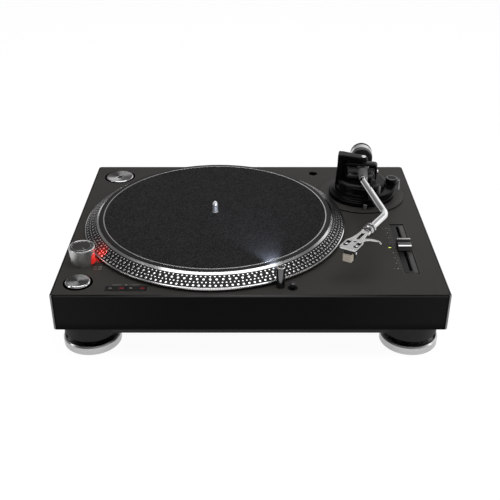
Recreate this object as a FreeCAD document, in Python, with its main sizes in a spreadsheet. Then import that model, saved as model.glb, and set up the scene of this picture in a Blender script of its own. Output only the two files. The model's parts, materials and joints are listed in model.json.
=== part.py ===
import FreeCAD, Part
import math
import os

import Sketcher
from FreeCAD import Placement, Rotation, Vector

# A direct-drive deck for records: cabinet on four screw feet, strobe-marked platter,
# and an S-shaped tonearm on a base that can be raised.
# Millimetres, +Z up, +X to the right seen from the front, origin on the table under
# the middle of the cabinet.

doc = FreeCAD.newDocument("turntable")
sheet = doc.addObject("Spreadsheet::Sheet", "sizes")

DIMENSIONS = {
    "Cabinet": {
        "case_wide": 453.0, "case_deep": 353.0, "deck_top": 87.0, "case_foot": 40.3,
        "case_wall": 4.0, "deck_thick": 5.0, "edge_round": 2.6, "corner_round": 4.0,
        "floor_thick": 3.0, "belly_drop": 6.6, "belly_corner": 71.0, "belly_inset": 3.0,
        "boss_r": 4.5, "screw_r": 1.5, "screw_head_r": 3.0, "joint_gap": 0.2, "tray_deep": 13.8,
    },
    "Feet": {
        "foot_x": 190.3, "foot_y": 139.5, "damper_r": 32.4, "damper_low": 18.2,
        "neck_r": 25.0, "neck_low": 13.0, "ring_r": 34.3, "ring_inner_r": 32.0,
        "ring_low": 1.3, "ring_high": 12.2, "ring_floor": 6.0, "ring_bevel": 1.8,
        "pad_r": 30.0, "stud_r": 5.0, "stud_high": 38.0, "run_gap": 0.08,
    },
    "Platter": {
        "platter_x": -45.6, "platter_y": -4.0, "platter_r": 167.0, "rim_low": 3.4,
        "rim_band_high": 5.6, "slope_r": 151.8, "slope_high": 14.4, "bevel_r": 148.6,
        "bevel_high": 16.8, "mat_ring_r": 143.2, "mat_ring_in": 141.9, "mat_r": 141.4,
        "mat_low": 15.0, "mat_high": 17.5, "platter_web": 5.0, "skirt_wall": 7.0,
        "hub_r": 16.0, "hub_low": 6.0, "spindle_r": 3.6, "spindle_high": 32.5,
        "journal_r": 4.0, "journal_high": 17.4, "journal_low": -30.0,
        "bearing_r": 9.0, "bearing_low": -34.0, "bearing_high": 4.5,
        "magnet_r": 56.0, "magnet_in": 36.0, "magnet_low": 2.6, "magnet_high": 10.0,
        "motor_well_r": 62.0, "stator_r": 70.0, "stator_high": -5.0, "stator_thick": 2.0,
        "coil_ring_r": 46.0, "coil_r": 9.0, "coil_in": 4.0, "coil_high": 1.2,
    },
    "Controls": {
        "start_x": -198.3, "start_y": -149.5, "start_r": 14.7, "start_well_r": 17.3,
        "start_high": 3.0, "well_floor": -12.0, "well_foot": -14.0,
        "tower_x": -200.3, "tower_y": -103.2, "tower_r": 15.6, "tower_foot_r": 13.8,
        "tower_high": 22.0, "dial_r": 13.4, "dial_low": 17.0, "dial_ring_r": 11.3,
        "window_turn": 24.0, "window_out": 17.6, "window_root": 9.5, "window_wide": 7.6,
        "window_low": 1.0, "window_high": 16.0,
        "adapter_x": -190.2, "adapter_y": 139.7, "adapter_r": 19.05, "adapter_well_r": 22.0,
        "adapter_high": 1.2, "adapter_low": -9.0,
        "speed_left": -165.4, "speed_right": -117.8, "speed_front": -167.4, "speed_back": -156.8,
        "key_gap": 0.5, "key_high": 0.6,
        "lamp_x": 34.1, "lamp_y": -157.5, "lamp_r": 5.1, "lamp_high": 26.5, "lamp_low": -6.0,
        "lamp_well": -36.0, "pop_x": 48.0, "pop_y": -161.0, "pop_r": 2.8, "pop_high": 7.0,
        "spare_x": 91.9, "spare_y": 150.6, "spare_r": 6.5,
    },
    "Fader": {
        "fader_left": 180.3, "fader_right": 198.5, "fader_front": -130.0, "fader_back": -7.0,
        "fader_sunk": 0.8, "fader_plate": 1.2, "slot_wide": 3.2, "slot_front": -122.6,
        "slot_back": -13.0, "knob_y": -68.5, "knob_wide": 17.0, "knob_long": 18.0,
        "knob_high": 8.6, "stem_wide": 2.2, "stem_long": 7.0, "stem_low": -12.0,
    },
    "Tonearm base": {
        "pivot_x": 154.0, "pivot_y": 81.0, "pivot_high": 36.5, "rest_heading": 10.3,
        "rest_tilt": 1.5, "barrel_turn": 5.0, "rear_droop": 2.4, "base_r": 58.5, "base_thick": 1.6,
        "column_r": 34.0, "column_low": -16.0, "dome_low": 13.0, "dome_high": 21.8,
        "dome_r": 32.1, "column_high": 23.0, "column_wall": 4.0, "grip_r": 45.0,
        "grip_top_r": 40.2, "grip_low": 2.0, "grip_mid": 7.4, "grip_high": 12.0,
        "wing_low": 12.6, "wing_high": 17.0, "antiskate_x": 40.3, "antiskate_y": 9.1,
        "antiskate_r": 8.1, "antiskate_high": 25.0,
    },
    "Tonearm": {
        "yoke_left": 24.2, "yoke_right": 19.5, "yoke_wall": 3.5, "yoke_low": -11.5, "yoke_high": 12.0,
        "yoke_in_low": -8.2, "yoke_in_high": 8.9, "yoke_deep": 14.0,
        "block_r": 6.7, "axle_r": 4.6, "axle_tip_r": 1.4, "tube_r": 4.8, "tube_wall": 0.4,
        "tube_start": 16.0, "first_bend_at": 38.1, "first_bend": 13.5,
        "arm_reach": 230.4, "tip_side": 1.6, "shell_turn": 21.0, "collar_front": 49.5,
        "collar_back": 63.0,
        "collar_r": 7.0, "plug_r": 4.0, "shaft_r": 3.5, "shaft_end": 84.0,
        "weight_front": 52.6, "weight_back": 74.0, "weight_r": 15.5, "scale_front": 46.0,
        "scale_r": 15.0,
    },
    "Headshell": {
        "shell_front": 6.5, "shell_half": 10.7, "shell_top": 3.0, "shell_thick": 3.0,
        "shell_tail": 48.5, "neck_wide_r": 6.0, "screw_half": 6.35, "screw_back": 6.0,
        "recess_half": 2.6, "recess_deep": 1.5, "recess_front": 0.6, "recess_back": 14.4,
        "body_wide": 11.6, "body_back": 15.0, "body_high": 6.5, "guard_low": -13.0,
        "needle_wide": 10.4, "needle_front": 4.6, "needle_back": 2.4, "needle_top": 5.0,
        "needle_drop": 15.0, "tip_drop": 16.3,
    },
}


class Size:
    """A length with its value and the sheet formula that gives it."""

    def __init__(self, value, text=None):
        self.value = float(value)
        self.text = text if text else f"{self.value:.4f}"

    def combine(self, other, sign, value):
        return Size(value, f"({self.text} {sign} {size_of(other).text})")

    def __add__(self, other):
        return self.combine(other, "+", self.value + size_of(other).value)

    def __sub__(self, other):
        return self.combine(other, "-", self.value - size_of(other).value)

    def __mul__(self, other):
        return self.combine(other, "*", self.value * size_of(other).value)

    def __truediv__(self, other):
        return self.combine(other, "/", self.value / size_of(other).value)

    def __neg__(self):
        return Size(-self.value, f"(0 - {self.text})")

    def __radd__(self, other):
        return size_of(other) + self

    def __rsub__(self, other):
        return size_of(other) - self

    def __rmul__(self, other):
        return size_of(other) * self


def size_of(number):
    return number if isinstance(number, Size) else Size(number)


class Dimensions:
    """Every named size, such as dims.case_wide."""


def fill_sheet():
    dims = Dimensions()
    row = 1
    for group, sizes in DIMENSIONS.items():
        sheet.set(f"A{row}", group)
        row += 1
        for alias, value in sizes.items():
            sheet.set(f"A{row}", alias.replace("_", " "))
            sheet.set(f"B{row}", str(value))
            sheet.setAlias(f"B{row}", alias)
            setattr(dims, alias, Size(value, f"sizes.{alias}"))
            row += 1
    doc.recompute()
    return dims


d = fill_sheet()
nodes = {}
serial = iter(range(1, 100000))


# Helpers that draw one solid each and bind it to the sheet.

def fresh(word):
    return f"{word}_{next(serial)}"


def bind(thing, name, size):
    size = size_of(size)
    if "sizes." in size.text:
        thing.setExpression(name, size.text)


def put(thing, x=0, y=0, z=0):
    """Place a solid at x, y, z without turning it."""
    spot = [size_of(v) for v in (x, y, z)]
    thing.Placement.Base = Vector(*[s.value for s in spot])
    for letter, size in zip("xyz", spot):
        bind(thing, f"Placement.Base.{letter}", size)
    return thing


def box(x0, x1, y0, y1, z0, z1):
    block = doc.addObject("Part::Box", fresh("block"))
    for name, low, high in (("Length", x0, x1), ("Width", y0, y1), ("Height", z0, z1)):
        length = size_of(high) - size_of(low)
        setattr(block, name, length.value)
        bind(block, name, length)
    return put(block, x0, y0, z0)


TURNS = {
    "z": Rotation(),
    "x": Rotation(Vector(0, 1, 0), 90),
    "y": Rotation(Vector(1, 0, 0), -90),
}


def rod(r, low, high, x=0, y=0, z=0, along="z"):
    """A cylinder from low to high along an axis through x, y, z."""
    bar = doc.addObject("Part::Cylinder", fresh("rod"))
    length = size_of(high) - size_of(low)
    bar.Radius = size_of(r).value
    bar.Height = length.value
    bind(bar, "Radius", r)
    bind(bar, "Height", length)
    bar.Placement.Rotation = TURNS[along]
    shift = {"x": (low, 0, 0), "y": (0, low, 0), "z": (0, 0, low)}[along]
    return put(bar, *[size_of(a) + b for a, b in zip((x, y, z), shift)])


def cone(r_low, r_high, low, high, x=0, y=0):
    taper = doc.addObject("Part::Cone", fresh("cone"))
    length = size_of(high) - size_of(low)
    for name, size in (("Radius1", r_low), ("Radius2", r_high), ("Height", length)):
        setattr(taper, name, size_of(size).value)
        bind(taper, name, size)
    return put(taper, x, y, low)


def cut(base, *tools):
    result = doc.addObject("Part::Cut", fresh("cut"))
    result.Base = base
    result.Tool = tools[0] if len(tools) == 1 else join(*tools)
    return result


def common(base, tool):
    result = doc.addObject("Part::Common", fresh("common"))
    result.Base = base
    result.Tool = tool
    return result


def join(*pieces):
    result = doc.addObject("Part::MultiFuse", fresh("join"))
    result.Shapes = list(pieces)
    result.Refine = True
    return result


def group(*pieces):
    result = doc.addObject("Part::Compound", fresh("group"))
    result.Links = list(pieces)
    return result


def rounded(base, radius, chosen):
    """Round the edges of a solid that chosen(edge) picks."""
    doc.recompute()
    picked = [i for i, edge in enumerate(base.Shape.Edges, 1) if chosen(edge)]
    result = doc.addObject("Part::Fillet", fresh("rounded"))
    result.Base = base
    result.Edges = [(i, radius, radius) for i in picked]
    return result


def upright(edge):
    """An edge that runs along Z."""
    return abs(edge.Vertexes[0].Z - edge.Vertexes[-1].Z) > 0.99 * edge.Length > 0.5


def origin_plane(body, role):
    return next(f for f in body.Origin.OriginFeatures if f.Role == role)


def draw_outline(body, role, points):
    """A closed outline of straight sides with every corner bound to the sheet."""
    sketch = body.newObject("Sketcher::SketchObject", fresh("outline"))
    sketch.AttachmentSupport = [(origin_plane(body, role), "")]
    sketch.MapMode = "FlatFace"
    corners = [(size_of(a), size_of(b)) for a, b in points]
    spots = [Vector(a.value, b.value, 0) for a, b in corners]
    for i, spot in enumerate(spots):
        sketch.addGeometry(Part.LineSegment(spot, spots[(i + 1) % len(spots)]))
    count = len(spots)
    for i in range(count):
        sketch.addConstraint(Sketcher.Constraint("Coincident", i, 2, (i + 1) % count, 1))
    for i, corner in enumerate(corners):
        for kind, size in zip(("DistanceX", "DistanceY"), corner):
            number = sketch.addConstraint(Sketcher.Constraint(kind, i, 1, size.value))
            bind(sketch, f"Constraints[{number}]", size)
    return sketch


def new_body(word):
    return doc.addObject("PartDesign::Body", fresh(word))


def turned(points, turn=360.0):
    """A solid of revolution about Z from corners given as (radius, height)."""
    body = new_body("turned")
    sketch = draw_outline(body, "XZ_Plane", points)
    doc.recompute()
    spin = body.newObject("PartDesign::Revolution", fresh("spin"))
    spin.Profile = sketch
    spin.ReferenceAxis = (sketch, ["V_Axis"])
    spin.Angle = turn
    doc.recompute()
    return body


def slab(points, low, high):
    """A plate whose outline is given in plan and that spans low to high in Z."""
    body = new_body("slab")
    sketch = draw_outline(body, "XY_Plane", points)
    low = size_of(low)
    sketch.AttachmentOffset = Placement(Vector(0, 0, low.value), Rotation())
    bind(sketch, "AttachmentOffset.Base.z", low)
    thickness = size_of(high) - low
    pad = body.newObject("PartDesign::Pad", fresh("pad"))
    pad.Profile = sketch
    pad.Length = thickness.value
    bind(pad, "Length", thickness)
    doc.recompute()
    return body


def front_slab(points, y0, y1):
    """A plate whose outline is given as (x, z) and that spans y0 to y1."""
    body = new_body("front_slab")
    sketch = draw_outline(body, "XZ_Plane", points)
    y0, y1 = size_of(y0), size_of(y1)
    sketch.AttachmentOffset = Placement(Vector(0, 0, -y1.value), Rotation())
    bind(sketch, "AttachmentOffset.Base.z", -y1)
    pad = body.newObject("PartDesign::Pad", fresh("pad"))
    pad.Profile = sketch
    pad.Length = (y1 - y0).value
    bind(pad, "Length", y1 - y0)
    doc.recompute()
    return body


def side_slab(points, x0, x1):
    """A plate whose outline is given as (y, z) and that spans x0 to x1."""
    body = new_body("side_slab")
    sketch = draw_outline(body, "YZ_Plane", points)
    x0, x1 = size_of(x0), size_of(x1)
    sketch.AttachmentOffset = Placement(Vector(0, 0, x0.value), Rotation())
    bind(sketch, "AttachmentOffset.Base.z", x0)
    pad = body.newObject("PartDesign::Pad", fresh("pad"))
    pad.Profile = sketch
    pad.Length = (x1 - x0).value
    bind(pad, "Length", x1 - x0)
    doc.recompute()
    return body


def moved(thing, placement):
    """Carry a finished solid from its own frame to the row frame."""
    holder = doc.addObject("Part::Compound", fresh("set"))
    holder.Links = [thing]
    holder.Placement = placement
    return holder


def node(name, thing, placement=None):
    if placement is not None:
        thing = moved(thing, placement)
    thing.Label = name
    nodes[name] = thing
    return thing


def at(x, y, z=0, turn=0.0):
    spot = Vector(*[size_of(v).value for v in (x, y, z)])
    return Placement(spot, Rotation(Vector(0, 0, 1), turn))


deck = d.deck_top
floor_low = d.case_foot
floor_high = d.case_foot + d.floor_thick
deck_low = deck - d.deck_thick
half_wide = d.case_wide / 2
half_deep = d.case_deep / 2
FOOT_SIGNS = {"front_left": (-1, -1), "front_right": (1, -1), "back_left": (-1, 1), "back_right": (1, 1)}
tray_back = half_deep - d.tray_deep
SCREW_SPOTS = [(-140, -160), (0, -167), (140, -160), (-212, 0), (212, 0), (-100, 167), (20, 167), (214, 90)]


# Cabinet: a moulded shell with the deck as its top, open underneath.

def make_top_case():
    outside = box(-half_wide, half_wide, -half_deep, half_deep, d.case_foot, deck)
    outside = rounded(outside, d.corner_round.value, upright)
    outside = rounded(
        outside, d.edge_round.value,
        lambda e: min(v.Z for v in e.Vertexes) > deck.value - 0.01)
    wall = d.case_wall
    inside = box(
        wall - half_wide, half_wide - wall, wall - half_deep, half_deep - wall,
        d.case_foot - 1, deck_low)
    shell = cut(outside, inside)
    well_foot = deck + d.well_foot
    bosses = [rod(d.boss_r, floor_high + 0.1, deck_low + 1, x, y) for x, y in SCREW_SPOTS]
    wells = [
        rod(d.start_well_r + 2, well_foot, deck_low + 1, d.start_x, d.start_y),
        rod(d.adapter_well_r + 2, well_foot, deck_low + 1, d.adapter_x, d.adapter_y),
        rod(d.pop_r + 3, well_foot, deck_low + 1, d.pop_x, d.pop_y),
        rod(d.spare_r + 2, well_foot, deck_low + 1, d.spare_x, d.spare_y),
        rod(d.lamp_r + 2, deck + d.lamp_well - 2, deck_low + 1, d.lamp_x, d.lamp_y),
        box(d.speed_left - 2, d.speed_right + 2, d.speed_front - 2, d.speed_back + 2,
            well_foot, deck_low + 1),
    ]
    solid = join(shell, *bosses, *wells)
    well_floor = deck + d.well_floor
    above = deck + 5
    holes = [
        rod(d.motor_well_r, deck_low - 1, above, d.platter_x, d.platter_y),
        rod(d.column_r + 1, deck_low - 1, above, d.pivot_x, d.pivot_y),
        rod(d.start_well_r, well_floor, above, d.start_x, d.start_y),
        rod(d.adapter_well_r, deck + d.adapter_low, above, d.adapter_x, d.adapter_y),
        rod(d.pop_r + d.run_gap, well_floor, above, d.pop_x, d.pop_y),
        rod(d.pop_r + 3.2, deck - 0.5, above, d.pop_x, d.pop_y),
        rod(d.spare_r, well_floor, above, d.spare_x, d.spare_y),
        rod(d.lamp_r + d.run_gap, deck + d.lamp_well, above, d.lamp_x, d.lamp_y),
        rod(4.2, deck_low - 1, above, d.tower_x, d.tower_y),
        box(d.speed_left, d.speed_right, d.speed_front, d.speed_back, well_floor, above),
        box(d.fader_left - 0.1, d.fader_right + 0.1, d.fader_front - 0.1, d.fader_back + 0.1,
            deck - d.fader_sunk - d.fader_plate, above),
        box(182.5, 196.3, d.slot_front - 3, d.slot_back + 3, deck_low - 1, above),
        box(62, 190, half_deep - 10, half_deep + 1, 47, 76),
        box(-192.2, -164.8, half_deep - 10, half_deep + 1, 50.2, 70.3),
        box(-194, -163, half_deep - 1.8, half_deep + 1, 48.5, 72),
    ]
    holes += [rod(d.screw_r, floor_high - 1, 60, x, y) for x, y in SCREW_SPOTS]
    return node("top_case", cut(solid, *holes))


def make_bottom_case():
    side = half_wide - d.case_wall - d.joint_gap
    depth = half_deep - d.case_wall - d.joint_gap
    plate = box(-side, side, -depth, depth, floor_low, floor_high)
    belly_x = half_wide - d.belly_inset
    belly_y = half_deep - d.belly_inset
    corner_x = half_wide - d.belly_corner
    corner_y = half_deep - d.belly_corner
    low = floor_low - d.belly_drop
    belly = join(
        box(-corner_x, corner_x, -belly_y, belly_y, low, floor_low),
        box(-belly_x, belly_x, -corner_y, corner_y, low, floor_low))
    posts = [rod(3, floor_high - 1, 48.3, x, y) for x, y in (
        (30, -140), (142, -140), (30, -80), (142, -80), (-195, 78), (-128, 78), (-195, 158), (-128, 158))]
    solid = join(plate, belly, *posts)
    holes = [rod(d.screw_r + 0.2, low - 1, floor_high + 1, x, y) for x, y in SCREW_SPOTS]
    holes += [rod(d.screw_head_r + 0.4, low - 1, low + 2.6, x, y) for x, y in SCREW_SPOTS]
    vents = [box(x, x + 3, 20, 70, low - 1, floor_high + 1) for x in range(-60, 61, 10)]
    return node("bottom_case", cut(solid, *holes, *vents))


def make_case_screws():
    low = floor_low - d.belly_drop
    screws = []
    for x, y in SCREW_SPOTS:
        head = rod(d.screw_head_r, low + 0.8, low + 2.6, x, y)
        shank = rod(d.screw_r - 0.05, low + 2.6, 58, x, y)
        slots = [
            box(x - 2, x + 2, y - 0.4, y + 0.4, low, low + 1.8),
            box(x - 0.4, x + 0.4, y - 2, y + 2, low, low + 1.8),
        ]
        screws.append(cut(join(head, shank), *slots))
    return node("case_screws", group(*screws))


# Feet: a rubber damper under each corner, a turned metal ring, and a pad whose stud
# screws into the damper.

def make_feet():
    dampers = []
    for place, (sx, sy) in FOOT_SIGNS.items():
        x, y = d.foot_x * sx, d.foot_y * sy
        bore = d.stud_r + d.run_gap
        damper = turned([
            (bore, d.case_foot), (d.damper_r - 0.8, d.case_foot), (d.damper_r, d.case_foot - 3),
            (d.damper_r, d.damper_low + 1.2), (d.damper_r - 1.2, d.damper_low),
            (d.neck_r, d.damper_low), (d.neck_r, d.neck_low), (bore, d.neck_low)])
        dampers.append(put(damper, x, y))
        ring = turned([
            (d.stud_r + d.run_gap, d.ring_low), (d.ring_r - 0.5, d.ring_low),
            (d.ring_r, d.ring_low + 0.5), (d.ring_r, d.ring_high - d.ring_bevel),
            (d.ring_r - d.ring_bevel + 0.2, d.ring_high), (d.ring_inner_r, d.ring_high),
            (d.ring_inner_r, d.ring_floor), (d.stud_r + d.run_gap, d.ring_floor)])
        node(f"foot_ring_{place}", put(ring, x, y))
        pad = turned([
            (0, 0), (d.pad_r - 0.6, 0), (d.pad_r, 0.6), (d.pad_r, d.ring_low),
            (d.stud_r, d.ring_low), (d.stud_r, d.stud_high - 1),
            (d.stud_r - 1, d.stud_high), (0, d.stud_high)])
        node(f"foot_pad_{place}", put(pad, x, y))
    return node("foot_dampers", group(*dampers))


# Drive: the platter runs on a spindle in a bearing bush; magnets under the platter
# turn over a ring of coils on a steel plate bolted below the deck.

def make_platter():
    high = deck + d.mat_low
    under = high - d.platter_web
    rim_in = d.platter_r - d.skirt_wall
    profile = [
        (d.journal_r + 0.02, deck + d.hub_low), (d.hub_r, deck + d.hub_low), (d.hub_r, under),
        (rim_in - 12, under), (rim_in, deck + d.rim_low), (d.platter_r, deck + d.rim_low),
        (d.platter_r, deck + d.rim_band_high - 0.7), (d.platter_r - 0.9, deck + d.rim_band_high),
        (d.slope_r, deck + d.slope_high), (d.bevel_r, deck + d.bevel_high),
        (d.mat_ring_r, deck + d.bevel_high), (d.mat_ring_r, deck + d.bevel_high + 0.3),
        (d.mat_ring_in, deck + d.bevel_high + 0.3), (d.mat_ring_in, high),
        (d.journal_r + 0.02, high),
    ]
    return node("platter", put(turned(profile), d.platter_x, d.platter_y))


def make_platter_mat():
    hole = d.journal_r + 0.09
    mat = turned([
        (hole, deck + d.mat_low), (d.mat_r, deck + d.mat_low), (d.mat_r, deck + d.mat_high - 0.6),
        (d.mat_r - 0.6, deck + d.mat_high), (hole, deck + d.mat_high)])
    return node("platter_mat", put(mat, d.platter_x, d.platter_y))


def make_spindle():
    top = deck + d.spindle_high
    spindle = turned([
        (0, deck + d.journal_low), (d.journal_r - 1, deck + d.journal_low),
        (d.journal_r, deck + d.journal_low + 1), (d.journal_r, deck + d.journal_high),
        (d.spindle_r, deck + d.journal_high), (d.spindle_r, top - 4.4),
        (d.spindle_r - 0.8, top - 2.2), (d.spindle_r - 2.2, top - 0.5), (0, top)])
    return node("spindle", put(spindle, d.platter_x, d.platter_y))


def make_spindle_bearing():
    low, high = deck + d.bearing_low, deck + d.bearing_high
    bore = d.journal_r + 0.04
    stator_low = deck + d.stator_high - d.stator_thick
    bush = turned([
        (0, low), (d.bearing_r - 1, low), (d.bearing_r, low + 1), (d.bearing_r, stator_low - 3),
        (d.bearing_r + 4, stator_low - 3), (d.bearing_r + 4, stator_low), (d.bearing_r, stator_low),
        (d.bearing_r, high), (bore, high), (bore, deck + d.journal_low - 0.1),
        (0, deck + d.journal_low - 0.1)])
    return node("spindle_bearing", put(bush, d.platter_x, d.platter_y))


def make_rotor_magnet():
    low, high = deck + d.magnet_low, deck + d.magnet_high
    ring = turned([(d.magnet_in, low), (d.magnet_r, low), (d.magnet_r, high), (d.magnet_in, high)])
    return node("rotor_magnet", put(ring, d.platter_x, d.platter_y))


def make_motor_stator():
    high = deck + d.stator_high
    low = high - d.stator_thick
    plate = put(turned([
        (d.bearing_r + 0.1, low), (d.stator_r, low), (d.stator_r, high),
        (d.bearing_r + 0.1, high)]), d.platter_x, d.platter_y)
    coils = []
    for i in range(12):
        angle = math.radians(30 * i)
        ring = turned([
            (d.coil_in, high), (d.coil_r, high), (d.coil_r, deck + d.coil_high - 1),
            (d.coil_r - 1, deck + d.coil_high), (d.coil_in, deck + d.coil_high)])
        coils.append(put(
            ring, d.platter_x + d.coil_ring_r * math.cos(angle),
            d.platter_y + d.coil_ring_r * math.sin(angle)))
    return node("motor_stator", group(plate, *coils))


# Electronics on the cabinet floor.

def make_main_board():
    board = box(24, 148, -146, -74, 48.3, 49.9)
    chips = [box(x, x + 14, y, y + 14, 49.9, 52.4) for x, y in ((40, -120), (80, -120), (80, -96))]
    caps = [rod(4, 49.9, 60, x, -85) for x in (110, 122, 134)]
    return node("main_board", join(board, *chips, *caps))


def make_power_supply():
    board = box(-201, -122, 72, 164, 48.3, 49.9)
    core = box(-190, -142, 84, 122, 49.9, 71)
    winding = box(-184, -148, 79, 127, 53, 68)
    caps = [rod(6, 49.9, 70, x, 146) for x in (-186, -170, -154)]
    return node("power_supply", join(board, core, winding, *caps))


# Back: a sunk tray with the signal sockets, and the mains inlet beside it.

PHONO_X = (84.0, 102.0)
PHONO_Z = 61.0


def make_rear_panel():
    outside = box(60.4, 191.6, tray_back - 1.6, half_deep - d.case_wall, 45.4, 77.6)
    inside = box(62, 190, tray_back, half_deep + 1, 47, 76)
    holes = [rod(4.3, half_deep - 20, half_deep, x, 0, PHONO_Z, "y") for x in PHONO_X]
    holes += [
        rod(2.05, half_deep - 20, half_deep, 70, 0, 61, "y"),
        box(118, 130.5, half_deep - 20, half_deep, 59, 63),
        box(151.9, 164.1, half_deep - 20, half_deep, 55.4, 66.6),
    ]
    return node("rear_panel", cut(outside, inside, *holes))


def make_output_jacks():
    back = tray_back
    jacks = []
    for x in PHONO_X:
        barrel = rod(4.15, back - 6, back + 10, x, 0, PHONO_Z, "y")
        flange = rod(6, back, back + 1.2, x, 0, PHONO_Z, "y")
        hole = rod(1.6, back + 0.5, back + 11, x, 0, PHONO_Z, "y")
        jacks.append(cut(join(barrel, flange), hole))
    return node("output_jacks", group(*jacks))


def make_ground_screw():
    back = tray_back
    stud = rod(2, back - 6, back + 11, 70, 0, 61, "y")
    head = rod(4.5, back + 4, back + 10, 70, 0, 61, "y")
    washer = rod(4.2, back, back + 0.8, 70, 0, 61, "y")
    return node("ground_screw", join(stud, head, washer))


def make_usb_socket():
    back = tray_back
    shell = box(152, 164, back - 16, back + 0.6, 55.5, 66.5)
    mouth = box(153.8, 162.2, back - 9, back + 1, 57.1, 64.9)
    tongue = box(155.2, 160.8, back - 9.5, back - 4.6, 59.6, 62.6)
    return node("usb_socket", join(cut(shell, mouth), tongue))


def make_mains_inlet():
    back = half_deep
    flange = box(-193.9, -163.1, back - 1.7, back, 48.6, 71.9)
    body = box(-192, -165, back - 22, back - 1.7, 50.3, 70.2)
    mouth = front_slab([
        (-190.7, 52), (-166.3, 52), (-166.3, 64.5), (-170.3, 68.6), (-186.7, 68.6), (-190.7, 64.5)],
        back - 16.5, back + 1)
    pins = [box(x - 1, x + 1, back - 17, back - 4.5, z - 2, z + 2)
            for x, z in ((-185.5, 58), (-178.5, 62.4), (-171.5, 58))]
    return node("mains_inlet", join(cut(join(flange, body), mouth), *pins))


def make_line_switch():
    back = tray_back
    slider = box(120, 124.4, back - 5, back + 3, 59.4, 62.6)
    guard = box(116.5, 127.5, back - 7, back - 2, 57, 65)
    return node("line_switch", join(slider, guard))


# Controls on the left of the deck.

def make_strobe_tower():
    high = deck + d.tower_high
    inner = d.dial_r + 0.08
    tower = put(turned([
        (0, deck - 12), (4, deck - 12), (4, deck), (d.tower_foot_r, deck), (d.tower_r, high - 0.7),
        (d.tower_r - 0.5, high), (inner + 0.4, high), (inner, high - 0.4), (inner, deck + d.dial_low),
        (3.06, deck + d.dial_low), (3.06, deck + 6), (0, deck + 6)]), d.tower_x, d.tower_y)
    wide = d.window_wide / 2
    notch = moved(
        box(d.window_root, d.window_out + 1, -wide, wide, deck + d.window_low, deck + d.window_high),
        at(d.tower_x, d.tower_y, 0, -d.window_turn.value))
    return node("strobe_tower", cut(tower, notch))


def make_strobe_window():
    """A petal of clear plastic: bulging low down, flush with the tower at its top."""
    wide = d.window_wide / 2
    out, low, high = d.window_out, deck + d.window_low, deck + d.window_high
    side = front_slab([
        (d.window_root, low), (out - 3.6, low), (out - 1.2, low + 1.6), (out, low + 5),
        (out - 0.3, low + 9), (out - 2.4, high), (d.window_root, high)], -wide, wide)
    nose = join(
        rod(5.2, low, high, out - 5.2), box(d.window_root, out - 5.2, -wide, wide, low, high))
    return node("strobe_window", common(side, nose), at(d.tower_x, d.tower_y, 0, -d.window_turn.value))


def make_power_dial():
    high = deck + d.tower_high
    proud = high + 0.3
    ring = d.dial_ring_r
    dial = turned([
        (0, deck + 6.1), (3, deck + 6.1), (3, deck + d.dial_low + 0.1), (d.dial_r, deck + d.dial_low + 0.1),
        (d.dial_r, high - 0.7), (d.dial_r - 0.9, proud), (ring + 0.4, proud), (ring + 0.2, high),
        (ring - 0.2, high), (ring - 0.4, proud), (0, proud)])
    return node("power_dial", put(dial, d.tower_x, d.tower_y))


def make_start_button():
    high = deck + d.start_high
    button = turned([
        (0, deck - 9), (4, deck - 9), (4, deck - 4), (d.start_r - 1.5, deck - 4),
        (d.start_r - 0.4, deck - 3), (d.start_r, high - 1.6), (d.start_r - 1.2, high - 0.3),
        (d.start_r - 1.8, high), (0, high - 0.5)])
    return node("start_button", put(button, d.start_x, d.start_y))


def make_speed_keys():
    middle = (d.speed_left + d.speed_right) / 2
    gap = d.key_gap
    spans = {
        "speed_button_33": (d.speed_left + gap, middle - gap / 2),
        "speed_button_45": (middle + gap / 2, d.speed_right - gap),
    }
    for name, (left, right) in spans.items():
        cap = box(left, right, d.speed_front + gap, d.speed_back - gap, deck - 3, deck + d.key_high)
        cap = rounded(cap, 0.5, lambda e: min(v.Z for v in e.Vertexes) > deck.value + 0.5)
        centre_x = (left + right) / 2
        centre_y = (d.speed_front + d.speed_back) / 2
        stem = rod(2.5, deck - 9.5, deck - 2.5, centre_x, centre_y)
        node(name, join(cap, stem))


def make_stylus_light():
    high = deck + d.lamp_high
    low = deck + d.lamp_low
    tube = turned([
        (0, low), (d.lamp_r, low), (d.lamp_r, high - 0.8), (d.lamp_r - 0.8, high),
        (d.lamp_r - 1.4, high), (d.lamp_r - 1.8, high - 0.5), (0, high - 0.5)])
    window = box(d.lamp_x - 2.6, d.lamp_x + 2.6, d.lamp_y + 2.6, d.lamp_y + 6, high - 8, high - 3)
    return node("stylus_light", cut(put(tube, d.lamp_x, d.lamp_y), window))


def make_light_button():
    high = deck + d.pop_high
    button = turned([
        (0, deck - 9), (d.pop_r, deck - 9), (d.pop_r, high - 0.7), (d.pop_r - 0.7, high), (0, high)])
    return node("light_button", put(button, d.pop_x, d.pop_y))


def make_adapter():
    high, low = deck + d.adapter_high, deck + d.adapter_low
    hole = d.spindle_r + 0.1
    disc = turned([
        (hole, low), (d.adapter_r - 1, low), (d.adapter_r, low + 1), (d.adapter_r, high - 0.8),
        (d.adapter_r - 0.8, high), (hole + 2.2, high - 1.1), (hole, high - 1.6)])
    return node("adapter_45", put(disc, d.adapter_x, d.adapter_y))


# Speed fader at the right of the deck.

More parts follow.
